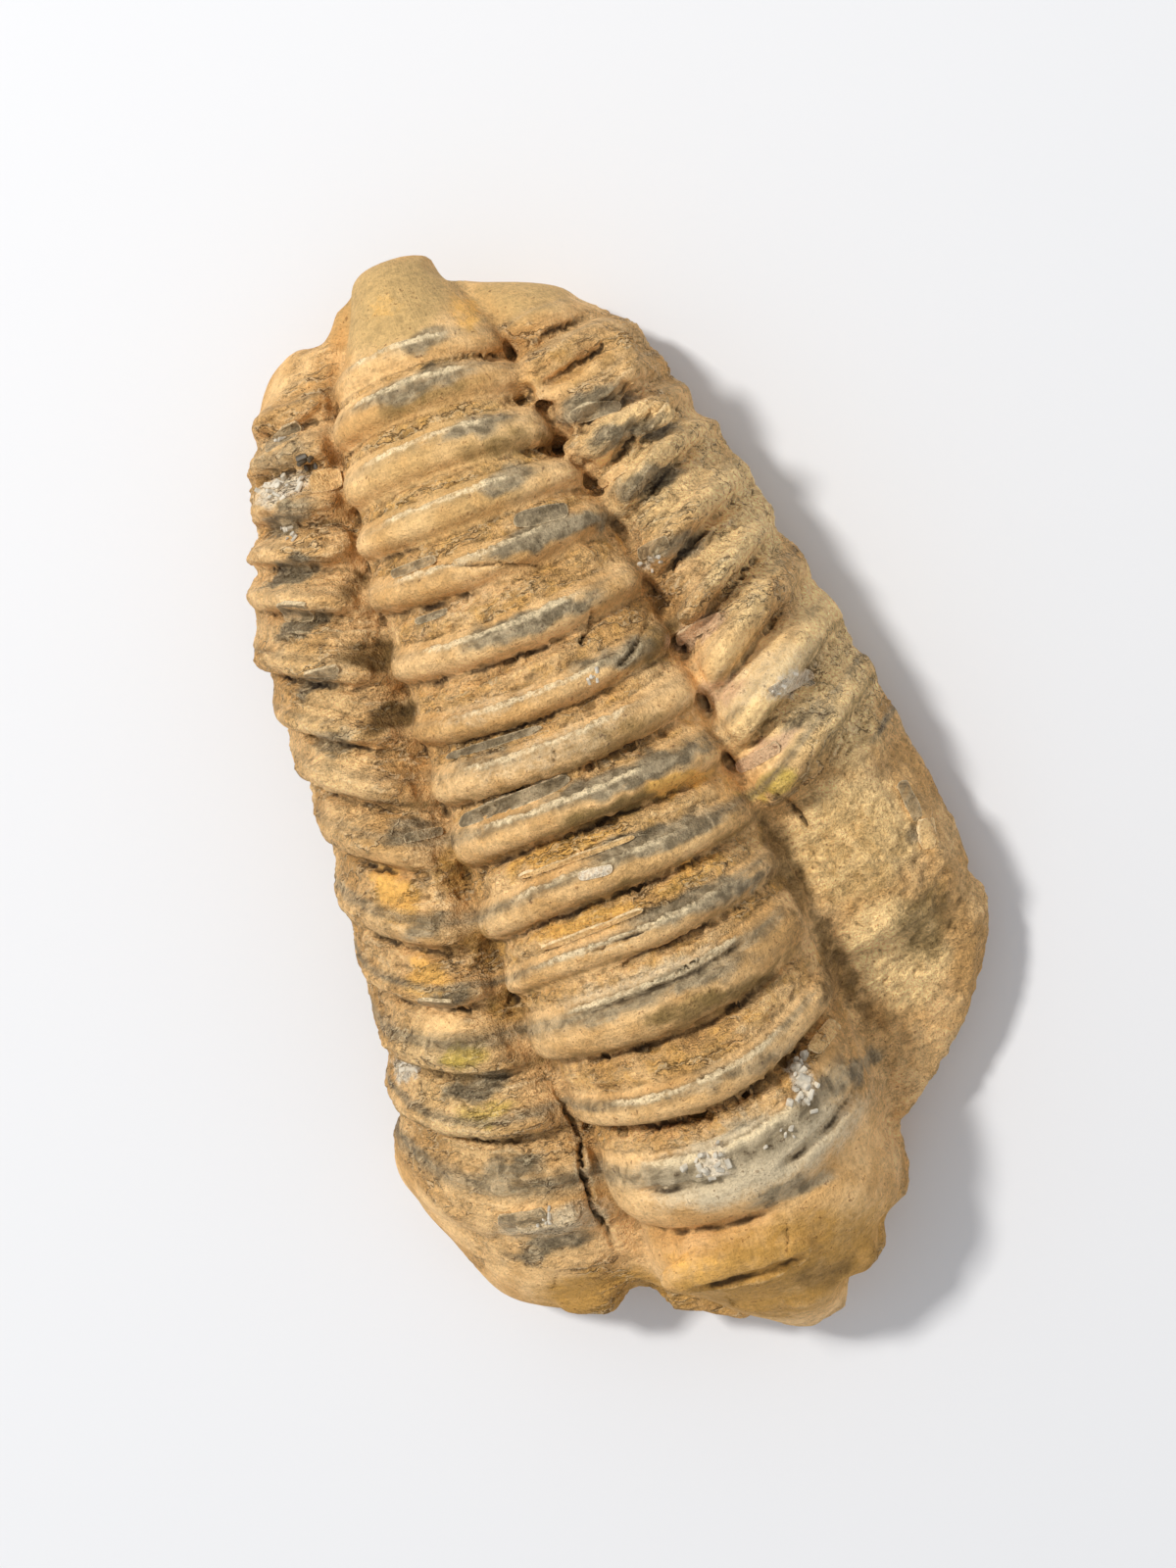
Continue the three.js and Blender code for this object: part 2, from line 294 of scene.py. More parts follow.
def line_across(row, first, last):
    """Points along a row, from one share across to another."""
    return [spot(row, across) for across in np.linspace(first, last, 6)]


print("middle of the hollow:", spot(-12.0, 1.4))

# %% [markdown]
# ## The blank
# The blank is a copy of the solid's mesh. Its loose triangles are merged and paired into four
# sided faces, and two rounds of subdivision round it off before anything is cut.

# %% Make the blank


def make_blank():
    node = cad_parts["trilobite"]
    blank = bpy.data.objects.new("trilobite_stone", node.data.copy())
    bpy.context.collection.objects.link(blank)
    blank.data.materials.clear()
    pick(blank)
    bpy.ops.object.mode_set(mode="EDIT")
    bpy.ops.mesh.select_all(action="SELECT")
    bpy.ops.mesh.remove_doubles(threshold=0.001 * MM)
    bpy.ops.mesh.tris_convert_to_quads()
    bpy.ops.object.mode_set(mode="OBJECT")
    return finish_with(blank, "SUBSURF", levels=2, render_levels=2)


stone = make_blank()
print("blank:", len(stone.data.polygons), "faces")

# %% [markdown]
# ## Cutting along lines
# Each cut is a line of points seen from above. It is laid on the stone by dropping it from
# above, and it wanders a little, because nothing in broken stone runs straight. Then every
# vertex near it is moved: a crack goes straight in, a gap also slants in under the ring on its
# tail side, and an edge lifts the thin rim of a shell plate on its head side.

# %% Lay a line on the stone and cut along it
DROP_FROM, SEARCH_FROM = 60, 4


def drop_onto(tree, x, y):
    """Where a point dropped from above lands, in metres, and the way the skin faces there."""
    hit, normal, _, _ = tree.ray_cast(Vector((x, y, DROP_FROM)) * MM, Vector((0, 0, -1)))
    if hit is None:
        hit, normal, _, _ = tree.find_nearest(Vector((x, y, SEARCH_FROM)) * MM)
    return hit, normal


def lay_line(tree, points, step, wander, seed):
    """Places on the stone, a step apart in mm, along the line of (x, y) points."""
    points = np.array(points, float)
    legs = np.hypot(*np.diff(points, axis=0).T)
    marks = np.concatenate([[0], np.cumsum(legs)])
    count = max(2, int(marks[-1] / step) + 1)
    where = np.linspace(0, marks[-1], count)
    x, y = np.interp(where, marks, points[:, 0]), np.interp(where, marks, points[:, 1])
    line = []
    for k, (a, b) in enumerate(zip(x, y)):
        drift = noise.noise_vector(Vector((where[k] * 0.9, seed * 7.3, 0.5)))
        fine = noise.noise_vector(Vector((where[k] * 2.7, seed * 3.1, 4.5)))
        a, b = a + wander * (drift.x + 0.4 * fine.x), b + wander * (drift.y + 0.4 * fine.y)
        hit, normal = drop_onto(tree, a, b)
        line.append((*(hit / MM), *normal))
    line = np.array(line)
    return line[:, :3], line[:, 3:]


def cut_lines(piece, cuts, marks):
    """Cuts every line into the piece. marks gathers how dark and how pale each vertex gets."""
    places = places_of(piece)
    tree = BVHTree.FromObject(piece, bpy.context.evaluated_depsgraph_get())
    shift = np.zeros_like(places)
    for seed, (kind, wide, deep, points) in enumerate(cuts):
        on_line, facing = lay_line(tree, points, 0.2, 0.13, seed)
        reach = wide * (1.6 if kind == "edge" else 1.0) + 0.1
        boxed = (places > on_line.min(0) - reach) & (places < on_line.max(0) + reach)
        index = np.flatnonzero(boxed.all(1))
        far = np.sum(places[index] ** 2, 1)[:, None] + np.sum(on_line**2, 1)
        far = np.sqrt(np.maximum(far - 2 * places[index] @ on_line.T, 0))
        k = far.argmin(1)
        close = far.min(1) < reach
        index, far, k = index[close], far.min(1)[close], k[close]
        run = np.gradient(on_line, axis=0)
        run /= np.maximum(np.linalg.norm(run, axis=1), 1e-6)[:, None]
        tailward = np.cross(facing, run)
        side = np.einsum("ij,ij->i", places[index] - on_line[k], tailward[k])
        ends = np.minimum(k, len(on_line) - 1 - k) / max(1.0, 0.22 * len(on_line))
        worn = grain(on_line, 0.5, seed)
        strength = smooth_rise(ends, -0.25, 1) * (1 + 0.5 * worn[k])
        if kind == "band":
            swell = np.sqrt(np.clip(1 - (far / (wide / 2)) ** 2, 0, 1)) * (1 + 0.3 * worn[k])
            shift[index] += facing[k] * (deep * swell)[:, None]
        elif kind == "crack":
            fall = np.clip(1 - (far / (wide / 2)) ** 2, 0, 1) ** 1.5
            shift[index] -= facing[k] * (deep * fall * strength)[:, None]
            # A crack is darkened along its line: soil and painted shade.
            marks["dark"][index] = np.maximum(marks["dark"][index], fall * strength)
        elif kind == "gap":
            # a broad hollow, steep on the tail side, and a narrow core that slants in under it
            half = np.where(side > 0, 0.5, 0.95) * wide
            broad = np.clip(1 - (far / half) ** 2, 0, 1) ** 1.3
            core = np.clip(1 - (far / (0.26 + 0.14 * wide)) ** 2, 0, 1) ** 1.3
            slant = tailward[k] * 0.5 - facing[k]
            shift[index] -= facing[k] * (0.5 * deep * broad * strength)[:, None]
            shift[index] += slant * (0.65 * deep * core * strength)[:, None]
            # The narrow core of a gap is darkened: soil, and painted shade under the ring.
            soiled_and_shaded = smooth_rise(core * strength, 0.2, 1.1)
            marks["dark"][index] = np.maximum(marks["dark"][index], soiled_and_shaded)
        else:
            lifted = np.where(side < 0, np.exp(-far / (0.5 * wide)), -0.8 * np.exp(-far / 0.35))
            shift[index] += facing[k] * (deep * lifted * strength)[:, None]
            # A pale rim on the lifted side, partly painted highlight, and painted shade just beyond it on
            # the tail side.
            rim_and_highlight = np.where(side < 0, np.exp(-((far - 0.2) / 0.3) ** 2), 0)
            marks["pale"][index] = np.maximum(marks["pale"][index], rim_and_highlight * strength)
            marks["dark"][index] = np.maximum(
                marks["dark"][index], np.where(side > 0, np.exp(-far / 0.3), 0) * 0.6 * strength)
    put_places(piece, places + shift)
    return len(cuts)


# %% [markdown]
# ## The cuts
# A gap opens under a ring or a rib, a crack is narrow, an edge lifts a rim and a band is raised.
# Widths and depths are in mm. What every ring has is worked out by a loop over the rings.

# %% Table of cuts
# Gaps under the rings of the back: row, from and to across, width and depth.
RING_GAPS = [
    (31.5, 0.55, 1.0, 1.2, 1.1), (28.2, -0.95, -0.6, 1.1, 0.3), (27.9, 0.75, 1.05, 1.1, 0.8),
    (23.8, 0.7, 1.05, 1.2, 0.8), (19.8, -0.9, -0.4, 1.0, 0.35), (15.7, -1.0, 0.1, 1.1, 0.6),
    (10.6, -1.0, 0.6, 1.0, 0.6), (6.2, -1.0, 0.7, 0.9, 0.6), (2.2, -1.0, 0.95, 1.1, 1.1),
    (-1.5, -1.0, 0.9, 1.3, 0.8), (-6.3, -1.0, 1.0, 1.3, 0.8), (-10.5, -0.2, 0.8, 0.8, 0.6),
    (-12.9, -0.6, 0.8, 0.8, 0.5), (-16.4, -1.0, 0.85, 1.6, 1.1), (-21.9, -1.0, 1.0, 1.5, 2.1),
    (-26.4, -0.8, 0.0, 0.9, 0.9), (-27.3, 0.3, 0.95, 0.9, 1.0), (-29.9, -0.95, 0.2, 1.6, 1.0),
    (-33.9, -0.8, 0.3, 1.5, 1.5)]
# Cracks: width, depth, and the rows and shares across that they run through.
CRACKS = [
    (0.6, 0.9, [(-18, -1.05), (-22, -1.05), (-26, -1.1), (-31, -1.15)]),
    (0.4, 0.4, [(18.6, -0.4), (17, 0.1), (15.2, 0.5)]),
    (0.5, 0.6, [(9, 0.95), (7.5, 0.75), (7, 0.6)]), (0.5, 0.6, [(11.4, 0.65), (9.6, 0.45)]),
    (0.4, 0.5, [(8.5, -0.6), (8.4, -0.35)]), (0.4, 0.5, [(-9, -0.35), (-9, 0.2)]),
    (0.4, 0.5, [(-12.4, 0.15), (-12.4, 0.5)]), (0.35, 0.3, [(4.4, 0.05), (2.9, 0.0)]),
    (0.3, 0.3, [(-30.5, 0.2), (-33, 0.15)]), (0.3, 0.3, [(-35, -0.6), (-37, -0.8)]),
    (0.25, 0.2, [(-33.5, -1.6), (-31.5, -1.4)]), (0.5, 0.6, [(-5, 1.2), (-9, 1.25)])]
LEFT_RIBS, RIGHT_RIBS = 13, 9


def cuts_on_the_animal():
    cuts = [("gap", wide, deep, line_across(row, a, b)) for row, a, b, wide, deep in RING_GAPS]
    cuts += [("crack", wide, deep, [spot(*at) for at in points]) for wide, deep, points in CRACKS]
    for index, (rear, front) in enumerate(RINGS):
        # a ring's thin rear rim, the pit beside it in each furrow, and the gap between its ribs
        cuts.append(("edge", 0.9, 0.22, line_across(rear - 0.5, -0.75, 0.75)))
        cuts.append(("gap", 1.2, 0.8, [spot(front + 0.8, -1.0), spot(front - 0.8, -1.02)]))
        if index < LEFT_RIBS:
            cuts.append(("gap", 1.1, 0.7, line_across(front - 0.2, -1.1, -1.85)))
            cuts.append(("band", 1.3, 0.3, line_across((rear + front) / 2, -1.15, -1.8)))
        if index < RIGHT_RIBS:
            cuts.append(("gap", 1.1, 0.8, line_across(front - 0.2, 1.1, 1.85)))
            cuts.append(("gap", 1.1, 0.7, [spot(front + 0.7, 1.0), spot(front - 0.7, 1.02)]))
            cuts.append(("band", 1.3, 0.3, line_across((rear + front) / 2, 1.15, 1.8)))
    for (_, front), (rear, _) in zip(RINGS, RINGS[1:]):
        cuts.append(("band", max(0.6, 0.7 * (front - rear)), 0.25,
                     line_across((front + rear) / 2, -0.85, 0.85)))
    return cuts


CUTS = cuts_on_the_animal()
print("cuts:", len(CUTS))

# %% [markdown]
# ## Chunks that stand out
# Broken rib ends, flat facets, a slab of bare matrix, heaps of crystals and the lobes of the
# head stand out of the back. Each is a block that is pushed towards a ball, more for a worn
# lump and less for a sharp chip, stretched to its size and sunk into the skin. The remesh that
# follows grows them all into one stone.

# %% Table of chunks
# Kind, row and share across, length, width and height, turn in degrees, lift, how sharp it is.
CHUNKS = [
    ("dark_block", 28.8, -1.25, 2.4, 1.5, 1, 0, 0.1, 0.85),
    ("rib_end", 31.5, -1.55, 3.4, 1.5, 1.2, 8, 0, 0.3),
    ("pale_chunk", 27, -1.5, 4.4, 2.4, 1.6, -8, 0.1, 0.55),
    ("rib_end", 23, -1.5, 1.8, 3, 1.4, 20, 0, 0.4),
    ("rib_end", 22.5, -1.2, 2.8, 2.2, 1.2, 0, 0, 0.4),
    ("facet", -0.8, -1.1, 2.6, 3.2, 0.9, 0, 0, 0.9),
    ("facet", -5.8, -1.1, 2.8, 3, 0.9, 0, 0, 0.9),
    ("facet", -11, -1.1, 3, 2.6, 0.8, 0, 0, 0.9),
    ("pale_chunk", -24, -1.15, 3.2, 2.4, 0.9, 5, 0.15, 0.7),
    ("pale_chunk", -27.5, -1.3, 4.4, 1.9, 0.9, -5, 0.1, 0.6),
    ("matrix_slab", 28, 1.5, 7.6, 4.8, 1.2, -8, 0.05, 0.55),
    ("rib_end", 24.5, 1.5, 5, 1.5, 1.4, -3, 0.25, 0.3),
    ("rib_end", 21.5, 1.5, 7, 2, 1.5, 8, 0.1, 0.3),
    ("crystal_heap", -23.5, 0.65, 1.9, 3.2, 1.4, 12, 0.1, 0.4),
    ("crystal_heap", -25, -0.15, 2.6, 2.2, 0.8, 0, 0, 0.4),
    ("flap", -16, 1.85, 1.2, 6, 1.4, 4, 0.1, 0.5),
    ("shell_wall", -11, 1.0, 0.7, 5.5, 1.6, 8, 0.2, 0.7),
    ("shell_wall", -17, 1.02, 0.7, 5.5, 1.4, 0, 0.2, 0.7),
    ("rough_knob", 14.8, 0.7, 1.9, 1.8, 0.9, 0, 0, 0.5),
    ("brow", -34.5, -1.4, 6.4, 3.2, 1.6, -18, 0, 0.1),
    ("brow", -33, -0.3, 8.6, 3.2, 1.6, -8, 0, 0.15),
    ("front_lobe", -37, 0.6, 6.4, 2.6, 1.2, 5, -0.1, 0.25),
    ("front_lobe", -36.6, -0.5, 3.4, 2, 1, -20, -0.1, 0.25)]
PROUD = {"facet": 0.12, "matrix_slab": 0.55, "brow": 0.35, "front_lobe": 0.3}


def make_chunk(tree, seed, kind, row, across, long, wide, tall, turn, lift, sharp):
    hit, normal = drop_onto(tree, *spot(row, across))
    bpy.ops.object.select_all(action="DESELECT")
    bpy.ops.mesh.primitive_cube_add(size=1)
    chunk = bpy.context.object
    bpy.ops.object.mode_set(mode="EDIT")
    bpy.ops.mesh.select_all(action="SELECT")
    bpy.ops.mesh.subdivide(number_cuts=7)
    bpy.ops.transform.tosphere(value=1 - sharp)
    bpy.ops.transform.resize(value=(long * MM, wide * MM, tall * MM))
    bpy.ops.object.mode_set(mode="OBJECT")
    up = (normal * 0.8 + Vector((0, 0, 0.35))).normalized()
    ahead = Vector((*turned(turn), 0))
    ahead = (ahead - up * ahead.dot(up)).normalized()
    proud = (PROUD.get(kind, 0.3) + lift) * MM
    frame_of = Matrix((ahead, up.cross(ahead), up)).transposed().to_4x4()
    frame_of.translation = hit + normal * (proud - tall * MM / 2)
    chunk.matrix_world = frame_of
    bpy.ops.object.transform_apply()
    places, normals = places_of(chunk), normals_of(chunk)
    put_places(chunk, places + normals * (0.16 * grain(places, 0.7, seed, 3))[:, None])
    return chunk


def grow_chunks(piece):
    tree = BVHTree.FromObject(piece, bpy.context.evaluated_depsgraph_get())
    made = [make_chunk(tree, seed, *row) for seed, row in enumerate(CHUNKS)]
    pick(piece, *made)
    bpy.ops.object.join()
    return len(made)


print("chunks:", grow_chunks(stone))

# %% [markdown]
# ## Deep gaps, then an even skin
# A first voxel remesh grows the chunks into the blank. The notches, the bands and the deep gaps
# go into that. A second, finer remesh then gives the whole stone an even skin of small faces, so
# that fine cuts come out equally sharp everywhere. The belly, which lies on the ground, needs few.

# %% Cut the gaps and remesh
FIRST_FACE, SKIN_FACE = 0.3, 0.2
BELLY_TOP, BELLY_KEEPS = 3.4, 0.05


def clear_marks(piece):
    return {name: np.zeros(len(piece.data.vertices)) for name in ("dark", "pale")}


def cut_only(piece, kind):
    return cut_lines(piece, [cut for cut in CUTS if cut[0] == kind], clear_marks(piece))


# The outline is bitten into here: x and y, radius, and the push in x and y.
NOTCHES = [
    (-9.9, -35.2, 2.4, 0.4, 1.9), (-2.6, -39.6, 1.6, 0.5, 0.9), (5.6, -39.0, 2.2, -0.5, 1.2),
    (9.6, -35.6, 2.0, -0.8, 0.6), (11.6, -28.6, 1.6, -0.6, 0.3), (-8.0, 38.4, 2.2, 0.3, -1.0),
    (3.2, 39.0, 1.6, -0.6, -0.6), (-23.0, -16.4, 1.4, 0.6, 0.0), (-18.9, 23.6, 1.0, 0.7, 0.0),
    (-20.3, 16.2, 1.0, 0.6, 0.1), (-20.6, 9.8, 1.0, 0.5, 0.0), (16.0, 23.2, 1.2, -0.5, 0.0),
    (18.6, 14.0, 1.2, -0.5, 0.0), (23.4, -13.6, 1.2, -0.9, 0.0), (21.0, 4.0, 1.2, -0.4, 0.0)]


def cut_notches(piece):
    places = places_of(piece)
    for x, y, radius, push_x, push_y in NOTCHES:
        far = np.hypot(places[:, 0] - x, places[:, 1] - y)
        fall = np.clip(1 - (far / radius) ** 2, 0, 1) ** 1.3
        places[:, 0] += push_x * fall
        places[:, 1] += push_y * fall
    put_places(piece, places)
    return len(NOTCHES)


def even_skin(piece):
    finish_with(piece, "REMESH", mode="VOXEL", voxel_size=SKIN_FACE * MM, adaptivity=0.0)
    mesh = piece.data
    heights = places_of(piece)[:, 2]
    down = normals_of(piece)[:, 2] < -0.3
    belly = (heights < BELLY_TOP) & down
    mesh.vertices.foreach_set("select", belly)
    mesh.edges.foreach_set("select", np.zeros(len(mesh.edges), bool))
    mesh.polygons.foreach_set("select", np.zeros(len(mesh.polygons), bool))
    pick(piece)
    bpy.ops.object.mode_set(mode="EDIT")
    bpy.ops.mesh.select_mode(type="VERT")
    bpy.ops.mesh.select_mode(type="FACE")
    bpy.ops.mesh.decimate(ratio=BELLY_KEEPS)
    bpy.ops.object.mode_set(mode="OBJECT")
    return piece


finish_with(stone, "REMESH", mode="VOXEL", voxel_size=FIRST_FACE * MM, adaptivity=0.0)
print("notches:", cut_notches(stone))
print("bands raised:", cut_only(stone, "band"))
print("gaps cut:", cut_only(stone, "gap"))
even_skin(stone)
print("skin:", len(stone.data.vertices), "vertices,", triangles_of(stone), "triangles")

# %% [markdown]
# ## Weathering
# Weathered shell is never even. Broad lumps, then chips whose rims step down, then grit: the
# half rings, the ribs and the bare stone of the hollow are rough, while the crests of the rings
# stay smooth because shell still covers them.

# %% Roughen the skin
HOLLOW_INNER, HOLLOW_REAR, HOLLOW_SLOPE = 10.9, -4.4, 0.24


def in_the_hollow(places):
    x, y = places[:, 0], places[:, 1]
    rear = HOLLOW_REAR + HOLLOW_SLOPE * (x - HOLLOW_INNER)
    return smooth_rise(x, HOLLOW_INNER - 0.4, HOLLOW_INNER + 0.4) * smooth_rise(rear - y, 0, 0.8)


# Where the skin is whole and smooth: x and y, length, width, turn in degrees.
CALM = [
    (-2.6, 38.0, 5.0, 3.6, 0), (7.4, 34.8, 4.4, 2.4, -35), (-12.4, 35.4, 3.0, 1.6, 30),
    (-16.6, -31.4, 5.4, 2.4, -14), (-22.2, -23.4, 1.8, 5.0, 22), (-2.4, -33.4, 7.0, 2.4, -8),
    (2.0, -37.0, 5.0, 2.6, 0), (-0.6, -30.6, 8.0, 1.2, 0), (8.4, 27.4, 2.4, 0.9, 0),
    (12.6, 4.4, 5.4, 3.2, 8), (12.4, -1.0, 4.2, 1.8, 8), (-13.8, 0.2, 1.7, 1.8, 0),
    (-13.6, -5.0, 1.8, 1.7, 0), (-13.8, -10.3, 1.8, 1.4, 0)]


def calm_at(places):
    calm = np.zeros(len(places))
    for at_x, at_y, long, wide, turn in CALM:
        c, s = turned(turn)
        x, y = places[:, 0] - at_x, places[:, 1] - at_y
        far = np.hypot((x * c + y * s) / long, (y * c - x * s) / wide)
        calm = np.maximum(calm, 1 - smooth_rise(far, 0.7, 1.2))
    return calm


def weather(piece):
    places, normals = places_of(piece), normals_of(piece)
    row, share, side = on_the_animal(places)
    beat = beat_of(row)
    phase = np.mod(beat, 2)
    on_rings = (beat > -0.5) & (beat < 2 * len(RINGS) - 1.5)
    band = smooth_rise(phase, 1.0, 1.2) * (1 - smooth_rise(phase, 1.9, 2.0)) * on_rings
    ribs = smooth_rise(share, 1.02, 1.15)
    hollow = in_the_hollow(places)
    above = smooth_rise(places[:, 2], 0.6, 3.0)
    furrow = np.exp(-(((share - 1) / 0.08) ** 2)) * (1 - hollow)
    whole = 1 - calm_at(places)
    middle = smooth_rise(-places[:, 1], -24, -17) * smooth_rise(places[:, 1], -24, -19)
    rough = 0.2 + 0.2 * middle + 0.45 * band + 0.28 * ribs + 0.5 * hollow + 0.5 * furrow
    rough = np.clip(rough, 0, 1)
    rough *= 0.3 + 0.7 * whole
    stretched = np.stack([places[:, 0] * 0.22, row, places[:, 2] * 0.3], 1)
    drawn = places * (1 - 0.55 * ribs * (1 - hollow))[:, None]
    drawn[:, 1] = places[:, 1]
    uneven = 0.35 + 0.65 * rough
    rise = 0.2 * uneven * grain(places, 0.28, 3.0)
    rise += 0.08 * uneven * grain(stretched, 0.8, 9.0, 2)
    split, edge = np.zeros(len(places)), np.zeros(len(places))
    layered = np.clip(0.1 + 0.6 * ribs + 0.6 * band, 0, 1) * (1 - hollow) * whole
    for per_mm, seed in ((0.7, 17.0), (1.4, 27.0)):
        level = grain(stretched, per_mm, seed, 2) / per_mm
        here = layered * smooth_rise(grain(places, 0.25, seed + 3), -0.35, 0.1)
        split = np.maximum(split, (1 - smooth_rise(np.abs(level), 0.0, 0.18)) * here)
        edge = np.maximum(edge, np.exp(-(((level - 0.26) / 0.1) ** 2)) * here)
        rise += 0.16 * smooth_rise(level, 0.08, 0.24) * here - 0.08 * here
    rise -= 0.16 * split
    chips = grain(drawn, 0.9, 14.0, 2)
    rise += 0.07 * ribs * whole * (1 - hollow) * smooth_rise(chips, 0.05, 0.14)
    rise -= 0.12 * band * smooth_rise(chips, 0.1, 0.18)
    facets = np.abs(grain(places, 0.7, 41.0)) + 0.5 * np.abs(grain(places, 1.5, 43.0))
    rise += hollow * 0.35 * (facets - 0.3)
    rise += rough * (0.08 * grain(drawn, 1.9, 21.0, 2) + 0.05 * grain(drawn, 3.6, 5.0))
    rise *= 0.45 + 0.55 * np.clip(normals[:, 2], 0, 1)
    put_places(piece, places + normals * (rise * above)[:, None])
    return {"row": row, "share": share, "side": side, "phase": phase, "band": band,
            "ribs": ribs, "hollow": hollow, "rough": rough, "on_rings": on_rings,
            "split": split * above, "edge": edge * above, "layered": layered * above,
            "above": above}


lay = weather(stone)
fine_marks = clear_marks(stone)
cut_lines(stone, [(kind, wide, deep * (0.25 if kind == "gap" else 1), points)
                  for kind, wide, deep, points in CUTS if kind != "band"], fine_marks)
print("marked dark:", int((fine_marks["dark"] > 0.3).sum()), "vertices")

# %% [markdown]
# ## Where the colours lie
# The colour of the fossil comes from what is left at each spot: blue grey shell on the rear
# half of a ring, tan where it is worn, rusty ochre in the half rings, white calcite in breaks,
# and dark soil with painted shade in the cracks. Some amounts are painted light and shade:
# painted shade in hollows, on the front flanks of rings and under lips, painted light on ribs
# and flanks, and pale rims that are partly painted highlight. Each is an amount at every
# vertex, which the material mixes.

# %% Table of stains
# Blue grey shell left on rings, then on ribs: row, share across, half length and amount.
SHELL_PATCHES = [
    (33.2, 0.3, 2.5, 0.8), (30.4, 0.1, 5, 0.8), (26.2, 0.5, 2.8, 0.9), (22, 0.5, 2.2, 0.85),
    (17.4, 0.6, 4.4, 1.0), (12.6, 0.2, 5, 0.95), (8, 0.6, 3, 0.8), (4.8, -0.5, 3, 0.6),
    (0.8, 0.4, 6.5, 1.0), (-3.8, 0.45, 5.5, 0.95), (-8.7, 0.5, 5, 0.9), (-13, 0.0, 7.5, 0.85),
    (-19.8, 0.3, 4, 0.6), (-25.6, 0.8, 3.4, 0.8), (-29, 0.3, 3.2, 0.8),
    (29.5, -1.5, 3, 0.6), (24.5, -1.5, 3, 0.8), (19.5, -1.5, 3, 0.9), (15, -1.5, 2.8, 0.8),
    (11, -1.45, 2.6, 0.8), (6.5, -1.5, 2.4, 0.7), (1.2, -1.25, 2, 0.8), (-4.5, -1.3, 2, 0.8),
    (-9.5, -1.3, 2.2, 0.8), (-17, -1.4, 3, 0.85), (-24, -1.4, 3.2, 0.8), (-30, -1.4, 3.8, 0.8),
    (24.5, 1.4, 3, 0.9), (20.5, 1.5, 3, 0.9), (16.5, 1.4, 2.8, 0.8), (11.5, 1.3, 2.6, 0.8),
    (-3.5, 1.6, 2.4, 0.7), (-16, 1.8, 1.2, 0.7)]
